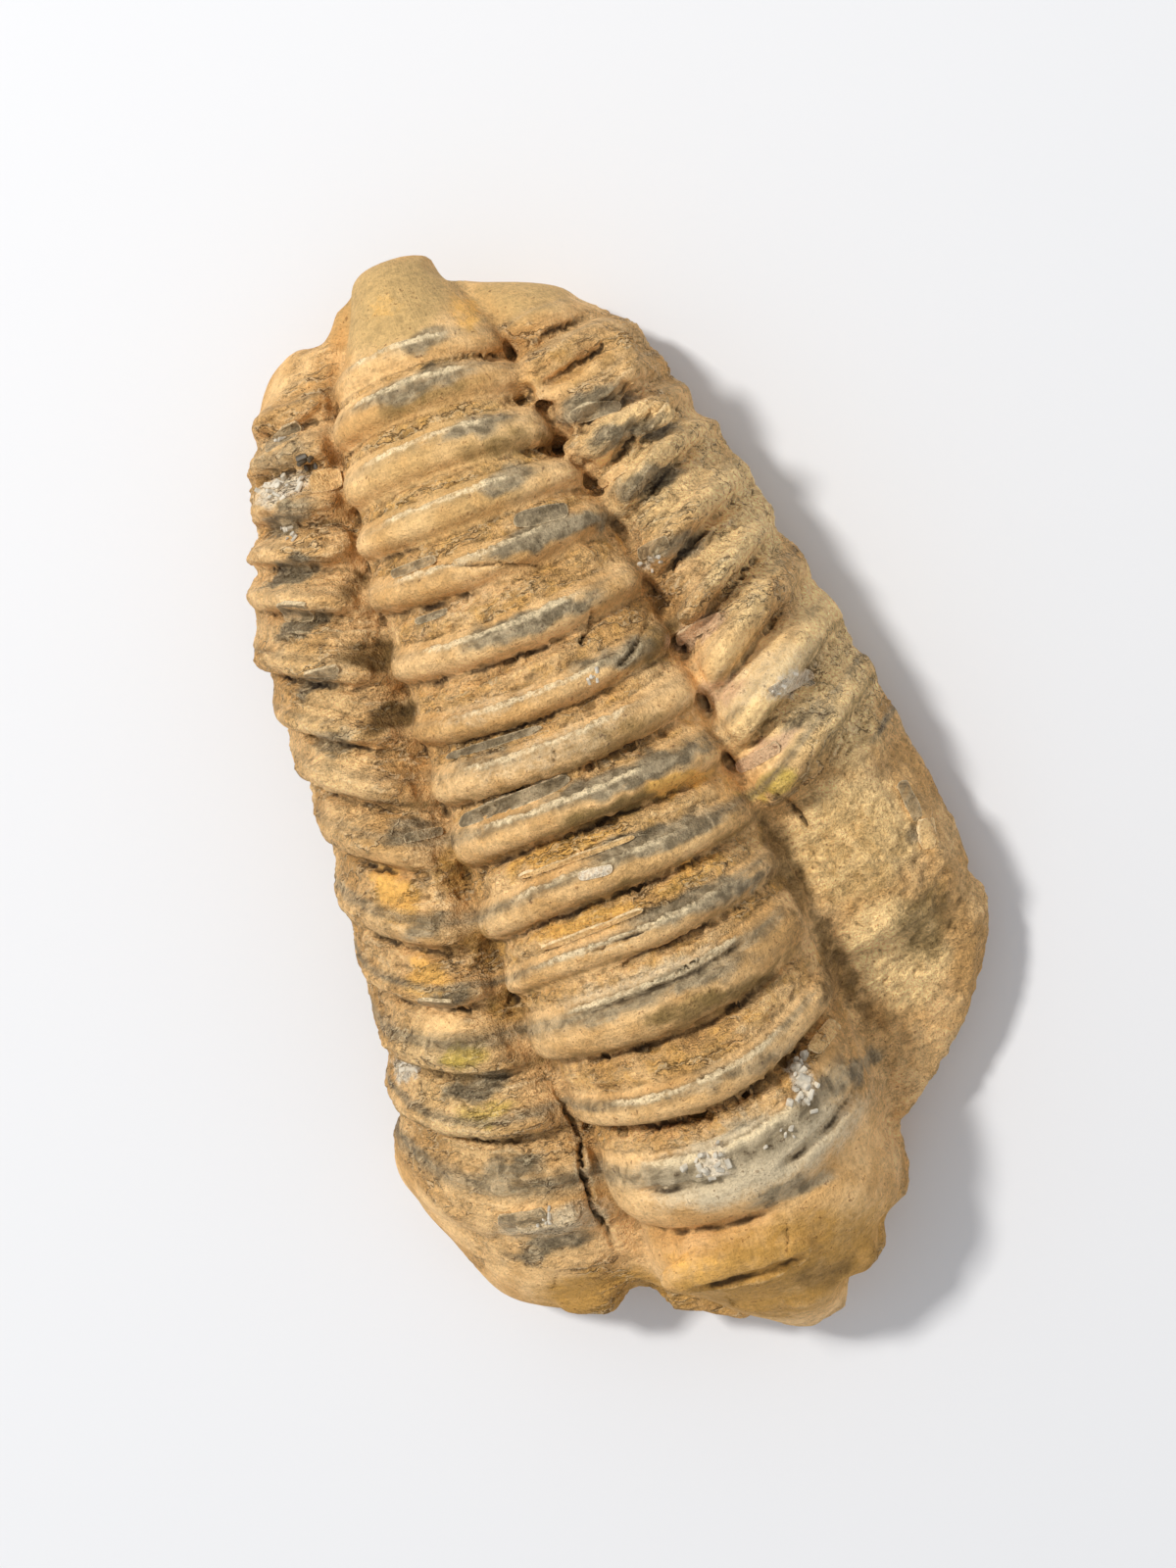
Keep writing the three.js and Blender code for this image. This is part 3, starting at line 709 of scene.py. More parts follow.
# Other stains: tone, row and share across, half length and width, turn in degrees, amount.
# The umber patches are painted shade in furrows and under lips, the olive patches are olive
# tone and partly painted shade on the front flanks of rings, and the palest patches are pale
# tone and partly painted light on ribs and flanks.
OTHER_STAINS = [
    ("orange", -1.0, 0.7, 2, 0.7, -5, 0.9), ("orange", -2.3, -0.2, 4.4, 0.7, 0, 1),
    ("orange", -7.2, -0.2, 4.4, 0.7, 0, 1), ("orange", -6.8, 0.5, 2.5, 0.6, 10, 0.8),
    ("orange", -17.4, 0, 4.4, 0.9, -4, 0.4), ("orange", -3, -1.45, 1.4, 2, 35, 0.9),
    ("orange", -8.5, -1.4, 1.4, 2, 35, 0.9), ("orange", 35, 0.9, 0.9, 1.6, 15, 0.6),
    ("orange", 36.5, 0, 1.6, 1, 0, 0.4), ("orange", -32, -0.6, 2.5, 1.2, -20, 0.5),
    ("yellow", -14, -1.35, 2, 0.9, -8, 0.9), ("yellow", -19, -1.4, 2.4, 0.8, -5, 0.7),
    ("yellow", -4.5, 1.2, 2.1, 0.8, 5, 0.8), ("olive", 29.4, 0.2, 4.3, 0.7, 0, 0.6),
    ("olive", 24.6, 0.7, 2.9, 0.9, -5, 0.6), ("olive", 7.2, 0.9, 2.4, 1.4, 20, 0.7),
    ("olive", 3.4, 0.5, 4, 0.8, 0, 0.5), ("olive", -0.9, 0.3, 6, 0.7, 0, 0.8),
    ("olive", -6, 0, 3.4, 0.6, 5, 0.7), ("olive", -15, 0.3, 4.8, 0.7, 0, 0.8),
    ("olive", -21, 1.6, 2, 3.2, -32, 0.6), ("pink", 6, 1.2, 2.5, 0.9, 10, 0.8),
    ("pink", 2, 1.2, 2, 0.9, 0, 0.7), ("pink", -2.6, 1.3, 3, 0.9, 8, 0.9),
    ("pale", 27, -1.5, 2.4, 1.2, -5, 0.75), ("pale", -25, -0.1, 1.2, 1, 10, 0.8),
    ("pale", -23.5, 0.65, 0.9, 1.6, 5, 0.8), ("pale", -17, -1.8, 1.6, 1, -10, 0.9),
    ("pale", -1, 1.6, 1.5, 0.8, 10, 0.7), ("pale", 12, 1.1, 1, 0.5, 0, 0.5),
    ("dark", 16, 0.6, 1.5, 1, 0, 0.8), ("dark", -14.6, 0, 3.6, 0.5, 3, 0.7),
    ("dark", -20.5, -1.05, 1.5, 1.6, 10, 0.7), ("dark", 8.5, -1.0, 1.7, 1, 0, 0.7),
    ("golden", -1, -1.05, 1.6, 1.9, 0, 0.7), ("golden", -6, -1.05, 1.7, 1.7, 0, 0.7),
    ("golden", -11, -1.05, 1.7, 1.4, 0, 0.7), ("golden", -34.5, 0, 9.5, 4.6, 0, 0.8),
    ("golden", -34.5, -1.4, 6, 2.9, -14, 0.85), ("golden", -12, 1.4, 4.6, 4.2, 0, 0.4),
    ("golden", 28, 1.5, 4.2, 1.9, -5, 0.4), ("muted", 36.8, 0, 4.8, 3.6, 0, 1),
    ("muted", 35, 1.6, 3.8, 2.2, -20, 0.7), ("muted", 24, 0, 7.6, 6.4, 0, 0.5),
    ("bleached", -11.5, 1.45, 4.6, 4.4, 0, 0.9), ("bleached", -21, 1.4, 3.4, 4.2, 0, 1),
    ("bleached", -0.5, 1.45, 5.6, 5, 0, 0.8), ("bleached", -3, 1.85, 2.2, 8, -5, 0.9),
    ("bleached", 8, 1.75, 2.2, 6.6, -12, 1), ("bleached", 17, 1.5, 5, 5, 0, 0.7),
    ("bleached", -17, -1.5, 4.6, 6, 0, 0.5), ("bleached", 7, -1.5, 3.4, 8, 0, 0.4),
    ("bleached", -4.5, 0.6, 8, 3.6, 0, 0.3), ("crust", 14.6, -0.3, 4.2, 1.2, 0, 0.35),
    ("crust", 8.2, -0.3, 4.4, 1.1, -4, 0.4), ("crust", 4.2, 0, 6.6, 1.1, 0, 0.45),
    ("crust", -25.5, 0.1, 8, 2.8, 0, 0.95), ("crust", -12, 0, 6.6, 1, 0, 0.6),
    ("crust", -28, -1.3, 4.6, 1.3, -5, 0.7), ("crust", 1, 1.4, 5.4, 1.8, 6, 0.5),
    ("umber", 13, -1.1, 2.2, 1.1, -10, 0.9), ("umber", 8.6, -1.1, 2.2, 1, 0, 0.9),
    ("umber", 18.2, -1.1, 1.4, 0.9, 0, 0.7), ("umber", -10, 1.02, 0.8, 4.8, 5, 0.6),
    ("umber", -19.5, 1.05, 0.9, 5, 0, 0.6), ("umber", -36, 0.4, 2.3, 1.2, 0, 0.6)]
STAINS = [("grey", *spot(row, across), long, 0.9, 0, amount)
          for row, across, long, amount in SHELL_PATCHES]
STAINS += [(tone, *spot(row, across), *rest) for tone, row, across, *rest in OTHER_STAINS]

# %% Store the amounts on the stone


def stains_at(places, seed):
    warp = np.stack([grain(places, 0.55, seed + s, 2) for s in (0, 31)], 1) * 0.7
    x, y = places[:, 0] + warp[:, 0], places[:, 1] + warp[:, 1]
    amounts = {}
    for kind, at_x, at_y, long, wide, turn, amount in STAINS:
        c, s = turned(turn)
        a, b = (x - at_x) * c + (y - at_y) * s, (y - at_y) * c - (x - at_x) * s
        far = np.sqrt((a / long) ** 2 + (b / wide) ** 2)
        here = amount * (1 - smooth_rise(far, 0.55, 1.35))
        amounts[kind] = np.maximum(amounts.get(kind, 0), here)
    return amounts


def edges_of(piece):
    """The two vertices of every edge, and how many edges meet at each vertex."""
    ends = np.empty(len(piece.data.edges) * 2, np.int32)
    piece.data.edges.foreach_get("vertices", ends)
    a, b = ends.reshape(-1, 2).T
    size = len(piece.data.vertices)
    count = np.bincount(a, minlength=size) + np.bincount(b, minlength=size)
    return a, b, np.maximum(count, 1)


def hollows_of(piece, rounds):
    """How far each vertex lies below its smoothed neighbourhood, in mm."""
    places, normals = places_of(piece), normals_of(piece)
    a, b, count = edges_of(piece)
    smooth = places.copy()
    for _ in range(rounds):
        total = np.stack([np.bincount(a, smooth[b, d], len(places))
                          + np.bincount(b, smooth[a, d], len(places)) for d in range(3)], 1)
        smooth = 0.3 * smooth + 0.7 * total / count[:, None]
    return np.einsum("ij,ij->i", smooth - places, normals)


def spread_out(piece, values):
    """The values averaged once with their neighbours'."""
    a, b, count = edges_of(piece)
    total = np.bincount(a, values[b], len(values)) + np.bincount(b, values[a], len(values))
    return 0.5 * values + 0.5 * total / count


def store(piece, name, values):
    layer = piece.data.attributes.new(name, "FLOAT", "POINT")
    layer.data.foreach_set("value", np.clip(values, 0, 1).astype(np.float32))


def store_vector(piece, row, share, side, places):
    layer = piece.data.attributes.new("on_animal", "FLOAT_VECTOR", "POINT")
    vector = np.stack([share * side * 9.0, row, places[:, 2] * 0.5], 1)
    layer.data.foreach_set("vector", vector.astype(np.float32).ravel())


def colour_amounts(piece):
    places = places_of(piece)
    stains = stains_at(places, 2.0)
    up = lay["above"]
    rear_half = np.exp(-((lay["phase"] - 0.28) / 0.2) ** 2) * lay["on_rings"]
    shelly = 0.42 + 0.3 * smooth_rise(-places[:, 1], -6, 1)
    grey = np.maximum(stains["grey"], shelly * rear_half * (1 - lay["hollow"])) * up
    rust = np.maximum(stains["orange"], 0.3 * lay["band"] * (lay["share"] < 1)) * up
    # Painted shade: an olive tone on the front flank of each ring, towards the head.
    shaded_flank = np.exp(-((lay["phase"] - 0.93) / 0.14) ** 2) * lay["on_rings"] * (1 - lay["hollow"])
    shaded_flank *= smooth_rise(-places[:, 1], -14, -4)
    # Painted shade, with some dirt: places lying below their smoothed neighbourhood are darkened.
    deep = smooth_rise(hollows_of(piece, 30), 0.15, 0.9)
    fine = smooth_rise(hollows_of(piece, 6), 0.02, 0.14)
    proud = smooth_rise(-hollows_of(piece, 8), 0.02, 0.14)
    # Soil and painted shade: dark stains, cracks, gap cores and the splits between layers.
    dark = np.maximum(stains["dark"] * 0.45, spread_out(piece, fine_marks["dark"]))
    dark = np.maximum(dark, 0.6 * lay["split"])
    # Pale rims along lifted edges and layer steps, partly painted highlight.
    pale_edge_and_highlight = np.maximum(spread_out(piece, fine_marks["pale"]), 0.6 * lay["edge"])
    store(piece, "grey_shell", grey)
    store(piece, "rust", rust)
    store(piece, "ochre", stains["yellow"] * up)
    store(piece, "olive_and_painted_shade", np.maximum(stains["olive"], 0.55 * shaded_flank) * up)
    store(piece, "rosy", stains["pink"] * up)
    # Among these, the palest tone is partly painted light and the umber is painted shade.
    for tone in ("bleached", "crust", "golden", "muted", "umber"):
        store(piece, tone, stains[tone] * up)
    store(piece, "calcite", stains["pale"] * up)
    # Raised places also get a pale rim, partly painted highlight.
    store(piece, "rim_and_highlight", np.maximum(pale_edge_and_highlight, 0.5 * proud * (1 - lay["hollow"])))
    store(piece, "soil_and_painted_shade", dark)
    store(piece, "cavity_dirt_and_shade", np.maximum(fine, 0.25 * deep))
    store(piece, "grit", lay["rough"])
    store(piece, "layering", lay["layered"])
    store_vector(piece, lay["row"], lay["share"], lay["side"], places)
    return {"grey": float(grey.mean()), "soil_and_painted_shade": float(dark.mean())}


print("amounts:", colour_amounts(stone))

# %% [markdown]
# ## Fewer faces where it is smooth
# The fine skin is now thinned to what the shape needs. Flat places lose most of their faces and
# cracks keep theirs, and the stored amounts stay with the vertices.

# %% Thin the skin
MOST_TRIANGLES = 190000
fine_count = triangles_of(stone)
finish_with(stone, "DECIMATE", ratio=min(1.0, MOST_TRIANGLES / fine_count))
print("triangles:", fine_count, "thinned to", triangles_of(stone))

# %% [markdown]
# ## The material
# One procedural material. It starts from tan stone with soft mottling, lays the stored stains
# over it with ragged borders, some of them painted light and painted shade, adds streaks along
# the animal, layers across it, grit and dark specks, paints shade into the hollows, darkens the
# cracks with soil and painted shade, and paints a highlight on one side of each crack line and
# along the rims. Bumps give the grain that is too fine for the mesh.

# %% Build the stone's material


def srgb(r, g, b):
    """A linear colour from the usual 0 to 255 values."""
    return tuple(((c / 255 + 0.055) / 1.055) ** 2.4 for c in (r, g, b)) + (1.0,)


class Recipe:
    """A few short words for building a node material."""

    def __init__(self, name):
        self.material = bpy.data.materials.new(name)
        self.material.use_nodes = True
        self.tree = self.material.node_tree
        self.shader = self.tree.nodes["Principled BSDF"]

    def node(self, kind, inputs=(), **settings):
        made = self.tree.nodes.new(kind)
        for key, value in settings.items():
            setattr(made, key, value)
        for key, value in dict(inputs).items():
            self.plug(value, made.inputs[key])
        return made

    def plug(self, value, socket):
        if isinstance(value, bpy.types.NodeSocket):
            self.tree.links.new(value, socket)
        else:
            socket.default_value = value

    def amount(self, name):
        return self.node("ShaderNodeAttribute", attribute_name=name).outputs["Fac"]

    def place(self, name):
        return self.node("ShaderNodeAttribute", attribute_name=name).outputs["Vector"]

    def in_mm(self):
        """The place on the piece, in mm."""
        return self.scaled(self.node("ShaderNodeTexCoord").outputs["Object"], 1000, 1000, 1000)

    def scaled(self, vector, x, y, z):
        mapping = self.node("ShaderNodeMapping", {"Vector": vector, "Scale": (x, y, z)})
        return mapping.outputs["Vector"]

    def noise(self, vector, detail=3.0, rough=0.55, distort=0.0):
        made = self.node("ShaderNodeTexNoise", {
            "Vector": vector, "Scale": 1.0, "Detail": detail, "Roughness": rough,
            "Distortion": distort})
        return made.outputs["Fac"]

    def cells(self, vector, scale):
        """A random value for each cell of a broken pattern."""
        made = self.node("ShaderNodeTexVoronoi", {"Vector": vector, "Scale": scale})
        return self.node("ShaderNodeSeparateColor", {0: made.outputs["Color"]}).outputs[0]

    def sums(self, operation, a, b=0.0, c=0.0):
        made = self.node("ShaderNodeMath", {0: a, 1: b, 2: c}, operation=operation)
        return made.outputs[0]

    def times(self, a, b):
        return self.sums("MULTIPLY", a, b)

    def ramp(self, value, low, high, out_low=0.0, out_high=1.0):
        made = self.node("ShaderNodeMapRange", {
            "Value": value, "From Min": low, "From Max": high, "To Min": out_low,
            "To Max": out_high}, interpolation_type="SMOOTHSTEP")
        return made.outputs["Result"]

    def line_at(self, value, level, half):
        """One where the value crosses a level, and zero beyond half to each side."""
        away = self.sums("ABSOLUTE", self.sums("SUBTRACT", value, level))
        return self.ramp(away, 0.25 * half, half, 1.0, 0.0)

    def blend(self, share, under, over, way="MIX"):
        made = self.node("ShaderNodeMix", {0: share, 6: under, 7: over}, data_type="RGBA",
                         blend_type=way, clamp_factor=True)
        return made.outputs[2]

    def ragged(self, amount, edge, spread=0.5):
        """An amount whose soft border is broken up by a noise."""
        off = self.times(self.sums("SUBTRACT", edge, 0.5), spread * 2)
        lifted = self.sums("ADD", amount, off)
        return self.times(self.ramp(lifted, 0.1, 0.95), self.ramp(amount, 0, 0.3))


TAN_LIGHT, TAN_DEEP = srgb(236, 193, 134), srgb(206, 159, 98)
SHELL_GREY, SHELL_SLATE = srgb(168, 149, 117), srgb(118, 102, 75)
# The palest tan is a pale tone and partly painted light.
PALE_AND_PAINTED_LIGHT, CRUST = srgb(254, 214, 150), srgb(208, 188, 153)
# The umber brown is painted shade.
GOLDEN, MUTED, UMBER_PAINTED_SHADE = srgb(186, 140, 70), srgb(197, 162, 106), srgb(116, 88, 46)
RUST, OCHRE = srgb(238, 182, 96), srgb(216, 182, 88)
# The olive is an olive tone and partly painted shade.
OLIVE_AND_SHADE, ROSY = srgb(134, 107, 60), srgb(214, 176, 136)
# The pale rim colour is partly a painted highlight; the near black is soil and painted shade.
CALCITE, RIM_AND_HIGHLIGHT, SOIL_AND_PAINTED_SHADE = srgb(224, 208, 182), srgb(240, 216, 172), srgb(46, 30, 14)


def stone_material():
    r = Recipe("weathered_fossil_stone")
    mm = r.in_mm()
    broad = r.noise(r.scaled(mm, 0.22, 0.22, 0.22), 3)
    patch = r.noise(r.scaled(mm, 0.8, 0.8, 0.8), 4, 0.6, 0.6)
    fleck = r.noise(r.scaled(mm, 2.4, 2.4, 2.4), 4, 0.7)
    grit = r.noise(r.scaled(mm, 5.5, 6.5, 6.5), 2, 0.8)
    push = r.node("ShaderNodeTexNoise", {"Vector": mm, "Scale": 1.1, "Detail": 3.0})
    warped = r.node("ShaderNodeVectorMath", {0: push.outputs["Color"], 1: (0.9, 0.9, 0.9), 2: mm},
                    operation="MULTIPLY_ADD").outputs[0]
    flakes = r.scaled(warped, 0.5, 1.0, 0.8)
    chip, shard = r.cells(flakes, 1.6), r.cells(flakes, 3.6)
    animal = r.place("on_animal")
    parting = r.noise(r.scaled(warped, 0.14, 0.55, 0.4), 4, 0.55)
    hair = r.noise(r.scaled(warped, 0.3, 1.3, 0.9), 3, 0.55)
    streak = r.noise(r.scaled(animal, 5.5, 0.7, 0.7), 3, 0.6)
    layers = r.noise(r.scaled(animal, 0.35, 4.5, 1.0), 3, 0.6, 0.3)

    tan = r.blend(r.ramp(broad, 0.35, 0.65), TAN_LIGHT, TAN_DEEP)
    tan = r.blend(r.ramp(patch, 0.5, 0.75, 0, 0.6), tan, TAN_DEEP)
    shell = r.blend(r.ramp(patch, 0.38, 0.62), SHELL_GREY, SHELL_SLATE)
    colour = tan
    # Some of these are painted: the palest tone is partly painted light and the olive partly painted shade.
    for name, edge, spread, over in (
            ("bleached", fleck, 0.3, PALE_AND_PAINTED_LIGHT), ("muted", patch, 0.3, MUTED),
            ("crust", fleck, 0.5, CRUST), ("golden", patch, 0.5, GOLDEN),
            ("olive_and_painted_shade", patch, 0.5, OLIVE_AND_SHADE), ("rosy", fleck, 0.5, ROSY),
            ("ochre", patch, 0.5, OCHRE), ("rust", patch, 0.7, RUST)):
        colour = r.blend(r.ragged(r.amount(name), edge, spread), colour, over)
    torn = r.times(r.sums("ADD", patch, r.sums("ADD", layers, fleck)), 0.333)
    colour = r.blend(r.ragged(r.amount("grey_shell"), torn, 0.9), colour, shell)
    colour = r.blend(r.ragged(r.amount("calcite"), fleck, 0.9), colour, CALCITE)
    # Pale rims, partly painted highlight.
    colour = r.blend(r.times(r.ramp(r.amount("rim_and_highlight"), 0.25, 0.8),
                            r.ramp(fleck, 0.35, 0.6, 0.2, 0.8)), colour, RIM_AND_HIGHLIGHT)
    # Umber, painted shade in the furrows, beside the broken axis and under the lips.
    colour = r.blend(r.ragged(r.amount("umber"), patch, 0.4), colour, UMBER_PAINTED_SHADE)
    speck = r.ramp(fleck, 0.58, 0.68, 0, 0.6)
    colour = r.blend(speck, colour, srgb(120, 82, 44), "MULTIPLY")
    pits = r.times(r.ramp(grit, 0.56, 0.66, 0, 0.55), r.ramp(patch, 0.4, 0.6))
    colour = r.blend(r.times(pits, r.amount("grit")), colour, srgb(84, 62, 34))
    tone = r.times(r.ramp(streak, 0.3, 0.7, 0.96, 1.04), r.ramp(layers, 0.3, 0.7, 0.93, 1.06))
    rough = r.ramp(r.amount("grit"), 0.1, 0.9, 0.3, 1.0)
    tone = r.times(tone, r.ramp(fleck, 0.3, 0.6, 0.82, 1.15))
    uneven = r.sums("ADD", r.ramp(chip, 0, 1, -0.13, 0.15), r.ramp(shard, 0, 1, -0.15, 0.17))
    uneven = r.sums("ADD", uneven, r.ramp(grit, 0.3, 0.7, -0.22, 0.3))
    tone = r.times(tone, r.sums("MULTIPLY_ADD", uneven, rough, 1.12))
    colour = r.blend(1.0, colour, r.node("ShaderNodeCombineColor", {0: tone, 1: tone, 2: tone}
                                         ).outputs[0], "MULTIPLY")
    # Painted shade, with some dirt, darkens the hollows to a deep brown.
    colour = r.blend(r.times(r.ramp(r.amount("cavity_dirt_and_shade"), 0.1, 1.0), 0.5), colour,
                     srgb(98, 74, 38))
    broken = r.times(r.ramp(r.amount("layering"), 0.1, 0.7), r.ramp(broad, 0.4, 0.55))
    wide_line = r.times(r.line_at(parting, 0.5, 0.01), broken)
    thin_line = r.times(r.line_at(hair, 0.5, 0.012), broken)
    lines = r.sums("MAXIMUM", wide_line, r.times(thin_line, 0.6))
    lit_rim = r.times(r.line_at(parting, 0.522, 0.012), broken)
    colour = r.blend(r.times(lit_rim, 0.5), colour, RIM_AND_HIGHLIGHT)
    colour = r.blend(r.times(lines, 0.75), colour, srgb(84, 60, 32))
    # Soil and painted shade, near black, in the cracks and the cores of gaps.
    colour = r.blend(r.ramp(r.amount("soil_and_painted_shade"), 0.42, 1.0, 0, 0.88), colour, SOIL_AND_PAINTED_SHADE)
    r.plug(colour, r.shader.inputs["Base Color"])
    r.plug(r.ramp(r.amount("grey_shell"), 0, 1, 0.88, 0.68), r.shader.inputs["Roughness"])
    r.shader.inputs["Specular IOR Level"].default_value = 0.35

    height = r.sums("MULTIPLY_ADD", fleck, 1.6, r.times(grit, 1.1))
    height = r.sums("MULTIPLY_ADD", chip, 0.5, height)
    height = r.sums("MULTIPLY_ADD", shard, 0.35, height)
    height = r.times(height, r.times(rough, 1.3))
    height = r.sums("MULTIPLY_ADD", streak, 0.4, height)
    height = r.sums("MULTIPLY_ADD", layers, 0.3, height)
    height = r.sums("MULTIPLY_ADD", lines, -0.8, height)
    bump = r.node("ShaderNodeBump", {"Height": height, "Strength": 1.0, "Distance": 0.2 * MM})
    r.plug(bump.outputs["Normal"], r.shader.inputs["Normal"])
    return r.material


fossil_stone = stone_material()
stone.data.materials.append(fossil_stone)
pick(stone)
bpy.ops.object.shade_smooth()
print("material nodes:", len(fossil_stone.node_tree.nodes))

# %% [markdown]
# ## Loose plates of shell
# Thin plates of the shell stand a little off the stone, mostly with the tail side lifted. Each
# is a small grid with a broken outline. It is dropped onto the stone, smoothed so that it spans
# the gaps stiffly, lifted at its rear, and thickened.

# %% Table of plates
# Tone, row and share across, length, width, thickness, turn in degrees, lift, how broken it is.
PLATES = [
    ("tan", 27, -1.15, 2.3, 1.8, 0.25, -10, 0.35, 0.8), ("grey", 31, -1.5, 3.2, 1.5, 0.3, 6, 0.3, 0.8),
    ("slate", 18.8, 0.6, 3.8, 1.4, 0.3, -6, 0.3, 0.5), ("grey", 18.6, -0.5, 4, 0.9, 0.25, -3, 0.3, 0.8),
    ("slate", 15, -0.5, 3, 0.7, 0.25, -3, 0.3, 0.8), ("grey", 16, -1.5, 3, 1.4, 0.3, -20, 0.3, 0.5),
    ("grey", 11.5, -1.4, 3.2, 0.9, 0.25, -5, 0.35, 0.7), ("slate", 5.8, -0.4, 8, 0.7, 0.25, -3, 0.3, 0.8),
    ("slate", 1.8, -0.4, 9, 1.2, 0.3, 1, 0.35, 0.5), ("tan", -3, -0.1, 9, 0.45, 0.2, 0, 0.25, 0.6),
    ("tan", -7.8, -0.2, 8, 0.45, 0.2, 2, 0.25, 0.6), ("pale", -4.3, 0, 2.8, 0.9, 0.2, -5, 0.15, 0.9),
    ("slate", 1, -1.15, 2.8, 0.9, 0.25, -10, 0.25, 0.6), ("grey", -10, -1.4, 3.2, 0.9, 0.25, -20, 0.25, 0.7),
    ("grey", -27.5, -1.4, 4, 1.4, 0.3, -4, 0.25, 0.9), ("tan", -22.8, 0.85, 2.2, 1.4, 0.3, 30, 0.3, 0.7),
    ("slate", 24, 1.4, 3.6, 1.2, 0.3, -2, 0.3, 0.5), ("tan", 19, 1.2, 2.8, 0.9, 0.25, 12, 0.3, 0.7),
    ("grey", 12.5, 1.2, 3, 1.2, 0.3, 0, 0.25, 0.9), ("rosy", 6.2, 1.2, 4, 1, 0.25, 10, 0.25, 0.6),
    ("rosy", -2.4, 1.2, 3.8, 1.1, 0.25, 8, 0.25, 0.6), ("pale", -1, 1.6, 3, 1.1, 0.2, 12, 0.1, 1),
    ("grey", -14, 1.85, 1, 3.2, 0.3, 5, 0.3, 0.6), ("tan", -17, 1.85, 1.2, 2.4, 0.3, -15, 0.3, 0.6)]
TONES = {"grey": {"grey_shell": 0.7}, "slate": {"grey_shell": 1.0}, "pale": {"calcite": 0.75},
         "tan": {"bleached": 0.5}, "rosy": {"rosy": 0.9}}
AMOUNTS = ("grey_shell", "rust", "ochre", "olive_and_painted_shade", "rosy", "bleached", "crust", "golden",
           "muted", "umber", "calcite", "rim_and_highlight", "soil_and_painted_shade", "cavity_dirt_and_shade", "grit")


def make_plate(tree, seed, tone, row, across, long, wide, thick, turn, lift, broken):
    bpy.ops.object.select_all(action="DESELECT")
    bpy.ops.mesh.primitive_grid_add(x_subdivisions=max(6, int(long / 0.28)),
                                    y_subdivisions=max(4, int(wide / 0.22)), size=2)
    plate = bpy.context.object
    x, y = spot(row, across)
    local = places_of(plate) * MM
    u, v = local[:, 0], local[:, 1]
    corner = np.maximum(np.abs(u), np.abs(v))
    ring = np.stack([u, v, np.full(len(u), seed * 3.7)], 1)
    ragged_rim = 1 + 0.3 * broken * corner * grain(ring, 1.6, seed, 2)
    soft = 1 - 0.22 * (u * v) ** 2
    c, s = turned(turn)
    along_x, along_y = u * soft * ragged_rim * long / 2, v * soft * ragged_rim * wide / 2
    spots = np.stack([x + along_x * c - along_y * s, y + along_x * s + along_y * c], 1)
    put_places(plate, np.array([drop_onto(tree, *at)[0] for at in spots]) / MM)
    finish_with(plate, "SMOOTH", factor=0.5, iterations=6)
    places = places_of(plate)
    places[:, 2] += 0.1 + lift * (0.25 + 0.75 * smooth_rise(v, -0.6, 1.0)) - 0.3 * lift * (v < -0.9)
    places[:, 2] += 0.06 * grain(places, 1.3, seed)
    put_places(plate, places)
    on_rim = corner > 0.97
    row, share, side = on_the_animal(places)
    for name in AMOUNTS:
        value = np.full(len(places), TONES[tone].get(name, 0.0))
        # The plate's outline gets a pale rim, partly painted highlight.
        if name == "rim_and_highlight":
            value = np.where(on_rim, 0.7, 0.0)
        if name == "grit":
            value += 0.25 + 0.4 * broken
        store(plate, name, value)
    store_vector(plate, row, share, side, places)
    finish_with(plate, "SOLIDIFY", thickness=thick * MM, offset=-1)
    plate.data.materials.append(fossil_stone)
    pick(plate)
    bpy.ops.object.shade_smooth_by_angle(angle=math.radians(40))
    return plate


def join_as(name, pieces):
    joined = pick(*pieces)
    bpy.ops.object.join()
    joined.name = joined.data.name = name
    return joined


stone_tree = BVHTree.FromObject(stone, bpy.context.evaluated_depsgraph_get())
plates = join_as("shell_plates",
                 [make_plate(stone_tree, seed, *row) for seed, row in enumerate(PLATES)])
print("plates:", len(PLATES), "faces:", len(plates.data.polygons))

# %% [markdown]
# ## Crystals
# White calcite grew in the breaks as heaps of small blocky crystals. One crystal is modelled, a
# squeezed prism with bevelled edges, and copied into each heap at random sizes and turns.

# %% Heap up the crystals
# Tone, row and share across, spread along and across in mm, how many, size, turn in degrees.
HEAPS = [
    ("pale", 27, -1.5, 1.9, 0.9, 14, 0.7, -10), ("pale", 31, -1.5, 1.4, 0.6, 6, 0.6, 5),
    ("pale", 23, -1.5, 0.5, 1.2, 6, 0.55, 25), ("dark", 28.8, -1.25, 0.9, 0.6, 5, 0.9, 0),
    ("pale", -25, -0.15, 1.2, 1.3, 18, 0.6, 0), ("pale", -23.5, 0.65, 0.9, 1.8, 20, 0.75, 0),
    ("pale", -25.5, 0.4, 1.6, 0.5, 5, 0.45, 0), ("pale", -27.5, -1.3, 1.2, 0.6, 8, 0.5, 0),
    ("pale", -1, 1.6, 1.2, 0.5, 6, 0.45, 10), ("pale", 7.4, 0.5, 1, 0.4, 5, 0.45, 25),
    ("pale", 12, 1.1, 0.9, 0.4, 4, 0.5, 0), ("pale", -17, -1.8, 0.9, 0.6, 7, 0.6, -10)]


def crystal_material(name, tint, roughness):
    r = Recipe(name)
    mm = r.in_mm()
    cloud = r.noise(r.scaled(mm, 1.6, 1.6, 1.6), 3)
    colour = r.blend(r.ramp(cloud, 0.35, 0.7), tint, tuple(c * 0.62 for c in tint[:3]) + (1,))
    r.plug(colour, r.shader.inputs["Base Color"])
    r.shader.inputs["Roughness"].default_value = roughness
    return r.material


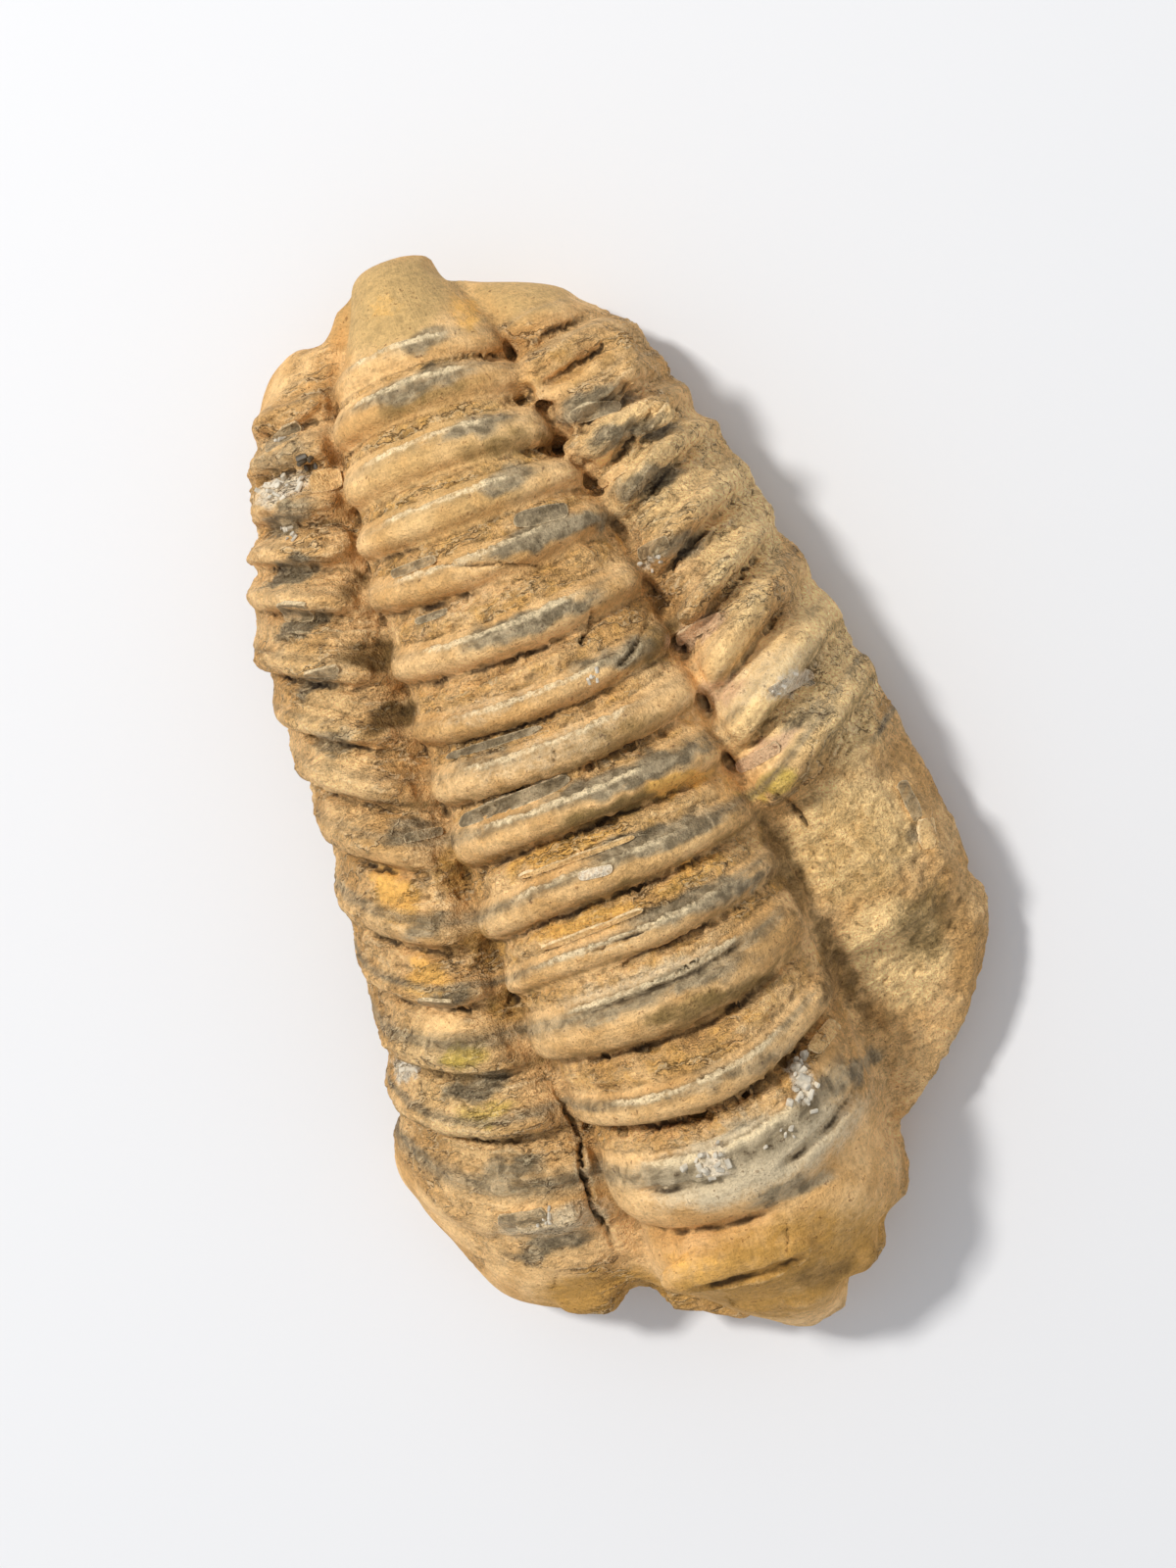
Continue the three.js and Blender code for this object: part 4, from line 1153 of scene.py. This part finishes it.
def first_crystal():
    bpy.ops.object.select_all(action="DESELECT")
    bpy.ops.mesh.primitive_cylinder_add(vertices=6, radius=0.4 * MM, depth=1.0 * MM)
    crystal = bpy.context.object
    bpy.ops.object.mode_set(mode="EDIT")
    bpy.ops.mesh.select_all(action="SELECT")
    bpy.ops.transform.resize(value=(1.0, 0.7, 1.0))
    bpy.ops.mesh.bevel(offset=0.05 * MM, segments=1)
    bpy.ops.object.mode_set(mode="OBJECT")
    return crystal


def heap_up(model, tree, throws, tone, row, across, spread_x, spread_y, count, size, turn):
    made = []
    x, y = spot(row, across)
    c, s = turned(turn)
    for _ in range(count):
        a, b = throws.normal(size=2) * (spread_x / 2, spread_y / 2)
        hit, normal = drop_onto(tree, x + a * c - b * s, y + a * s + b * c)
        lean = (normal + Vector(throws.normal(size=3)) * 0.7).normalized()
        one = model.copy()
        one.data = model.data.copy()
        bpy.context.collection.objects.link(one)
        scale = size * throws.uniform(0.5, 1.1)
        one.matrix_world = (Matrix.Translation(hit + normal * 0.05 * MM)
                            @ lean.to_track_quat("Z", "Y").to_matrix().to_4x4()
                            @ Matrix.Rotation(throws.uniform(0, 6), 4, "Z")
                            @ Matrix.Diagonal((scale, scale, scale * 1.2, 1)))
        made.append(one)
    return made


def make_crystals(name, tone, material):
    model = first_crystal()
    throws = np.random.default_rng(5)
    heaps = [heap_up(model, stone_tree, throws, *row) for row in HEAPS if row[0] == tone]
    bpy.data.objects.remove(model)
    joined = join_as(name, [one for heap in heaps for one in heap])
    bpy.ops.object.transform_apply()
    joined.data.materials.append(material)
    return joined


crystals = make_crystals("calcite_crystals", "pale",
                         crystal_material("clouded_calcite", srgb(226, 214, 192), 0.6))
dark_blocks = make_crystals("dark_blocks", "dark",
                            crystal_material("dark_calcite", srgb(92, 80, 62), 0.5))
print("crystals:", len(crystals.data.polygons), "faces")

# %% [markdown]
# ## Floor, light and air
# A plain pale floor, one small bright lamp from the upper left of the view, and an even pale sky
# that keeps the shadows open.

# %% Light the scene


def pale_floor():
    pick(stone)
    bpy.ops.object.select_all(action="DESELECT")
    bpy.ops.mesh.primitive_plane_add(size=3, location=(0, 0, 0))
    floor = bpy.context.object
    floor.name = "floor"
    r = Recipe("pale_floor")
    r.shader.inputs["Base Color"].default_value = srgb(232, 232, 234)
    r.shader.inputs["Roughness"].default_value = 0.9
    floor.data.materials.append(r.material)


LAMP_AWAY = 0.6


def lamp(name, direction, size, power, colour=(1, 1, 1)):
    light = bpy.data.lights.new(name, "AREA")
    light.size, light.energy, light.color = size, power, colour
    holder = bpy.data.objects.new(name, light)
    bpy.context.collection.objects.link(holder)
    towards = Vector(direction).normalized()
    holder.location = towards * LAMP_AWAY
    holder.rotation_mode = "QUATERNION"
    holder.rotation_quaternion = towards.to_track_quat("Z", "Y")
    return holder


pale_floor()
view_up = Vector((math.sin(TURN), math.cos(TURN), 0))
view_right = Vector((math.cos(TURN), -math.sin(TURN), 0))
SUN_HEIGHT = math.radians(60)
towards_sun = (view_up * 0.56 - view_right * 0.83).normalized() * math.cos(SUN_HEIGHT)
towards_sun.z = math.sin(SUN_HEIGHT)
lamp("key_light", towards_sun, 0.07, 2.4, (1.0, 0.985, 0.95))
sky = bpy.data.worlds.new("pale_sky")
sky.use_nodes = True
sky.node_tree.nodes["Background"].inputs["Color"].default_value = (0.93, 0.96, 1.0, 1)
sky.node_tree.nodes["Background"].inputs["Strength"].default_value = 0.57
bpy.context.scene.world = sky
bpy.context.scene.view_settings.view_transform = "Standard"
print("sun height, degrees:", round(math.degrees(SUN_HEIGHT)))

# %% Ride, replace and finish
for piece in (stone, plates, crystals, dark_blocks):
    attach(piece, "root")
    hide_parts("trilobite")
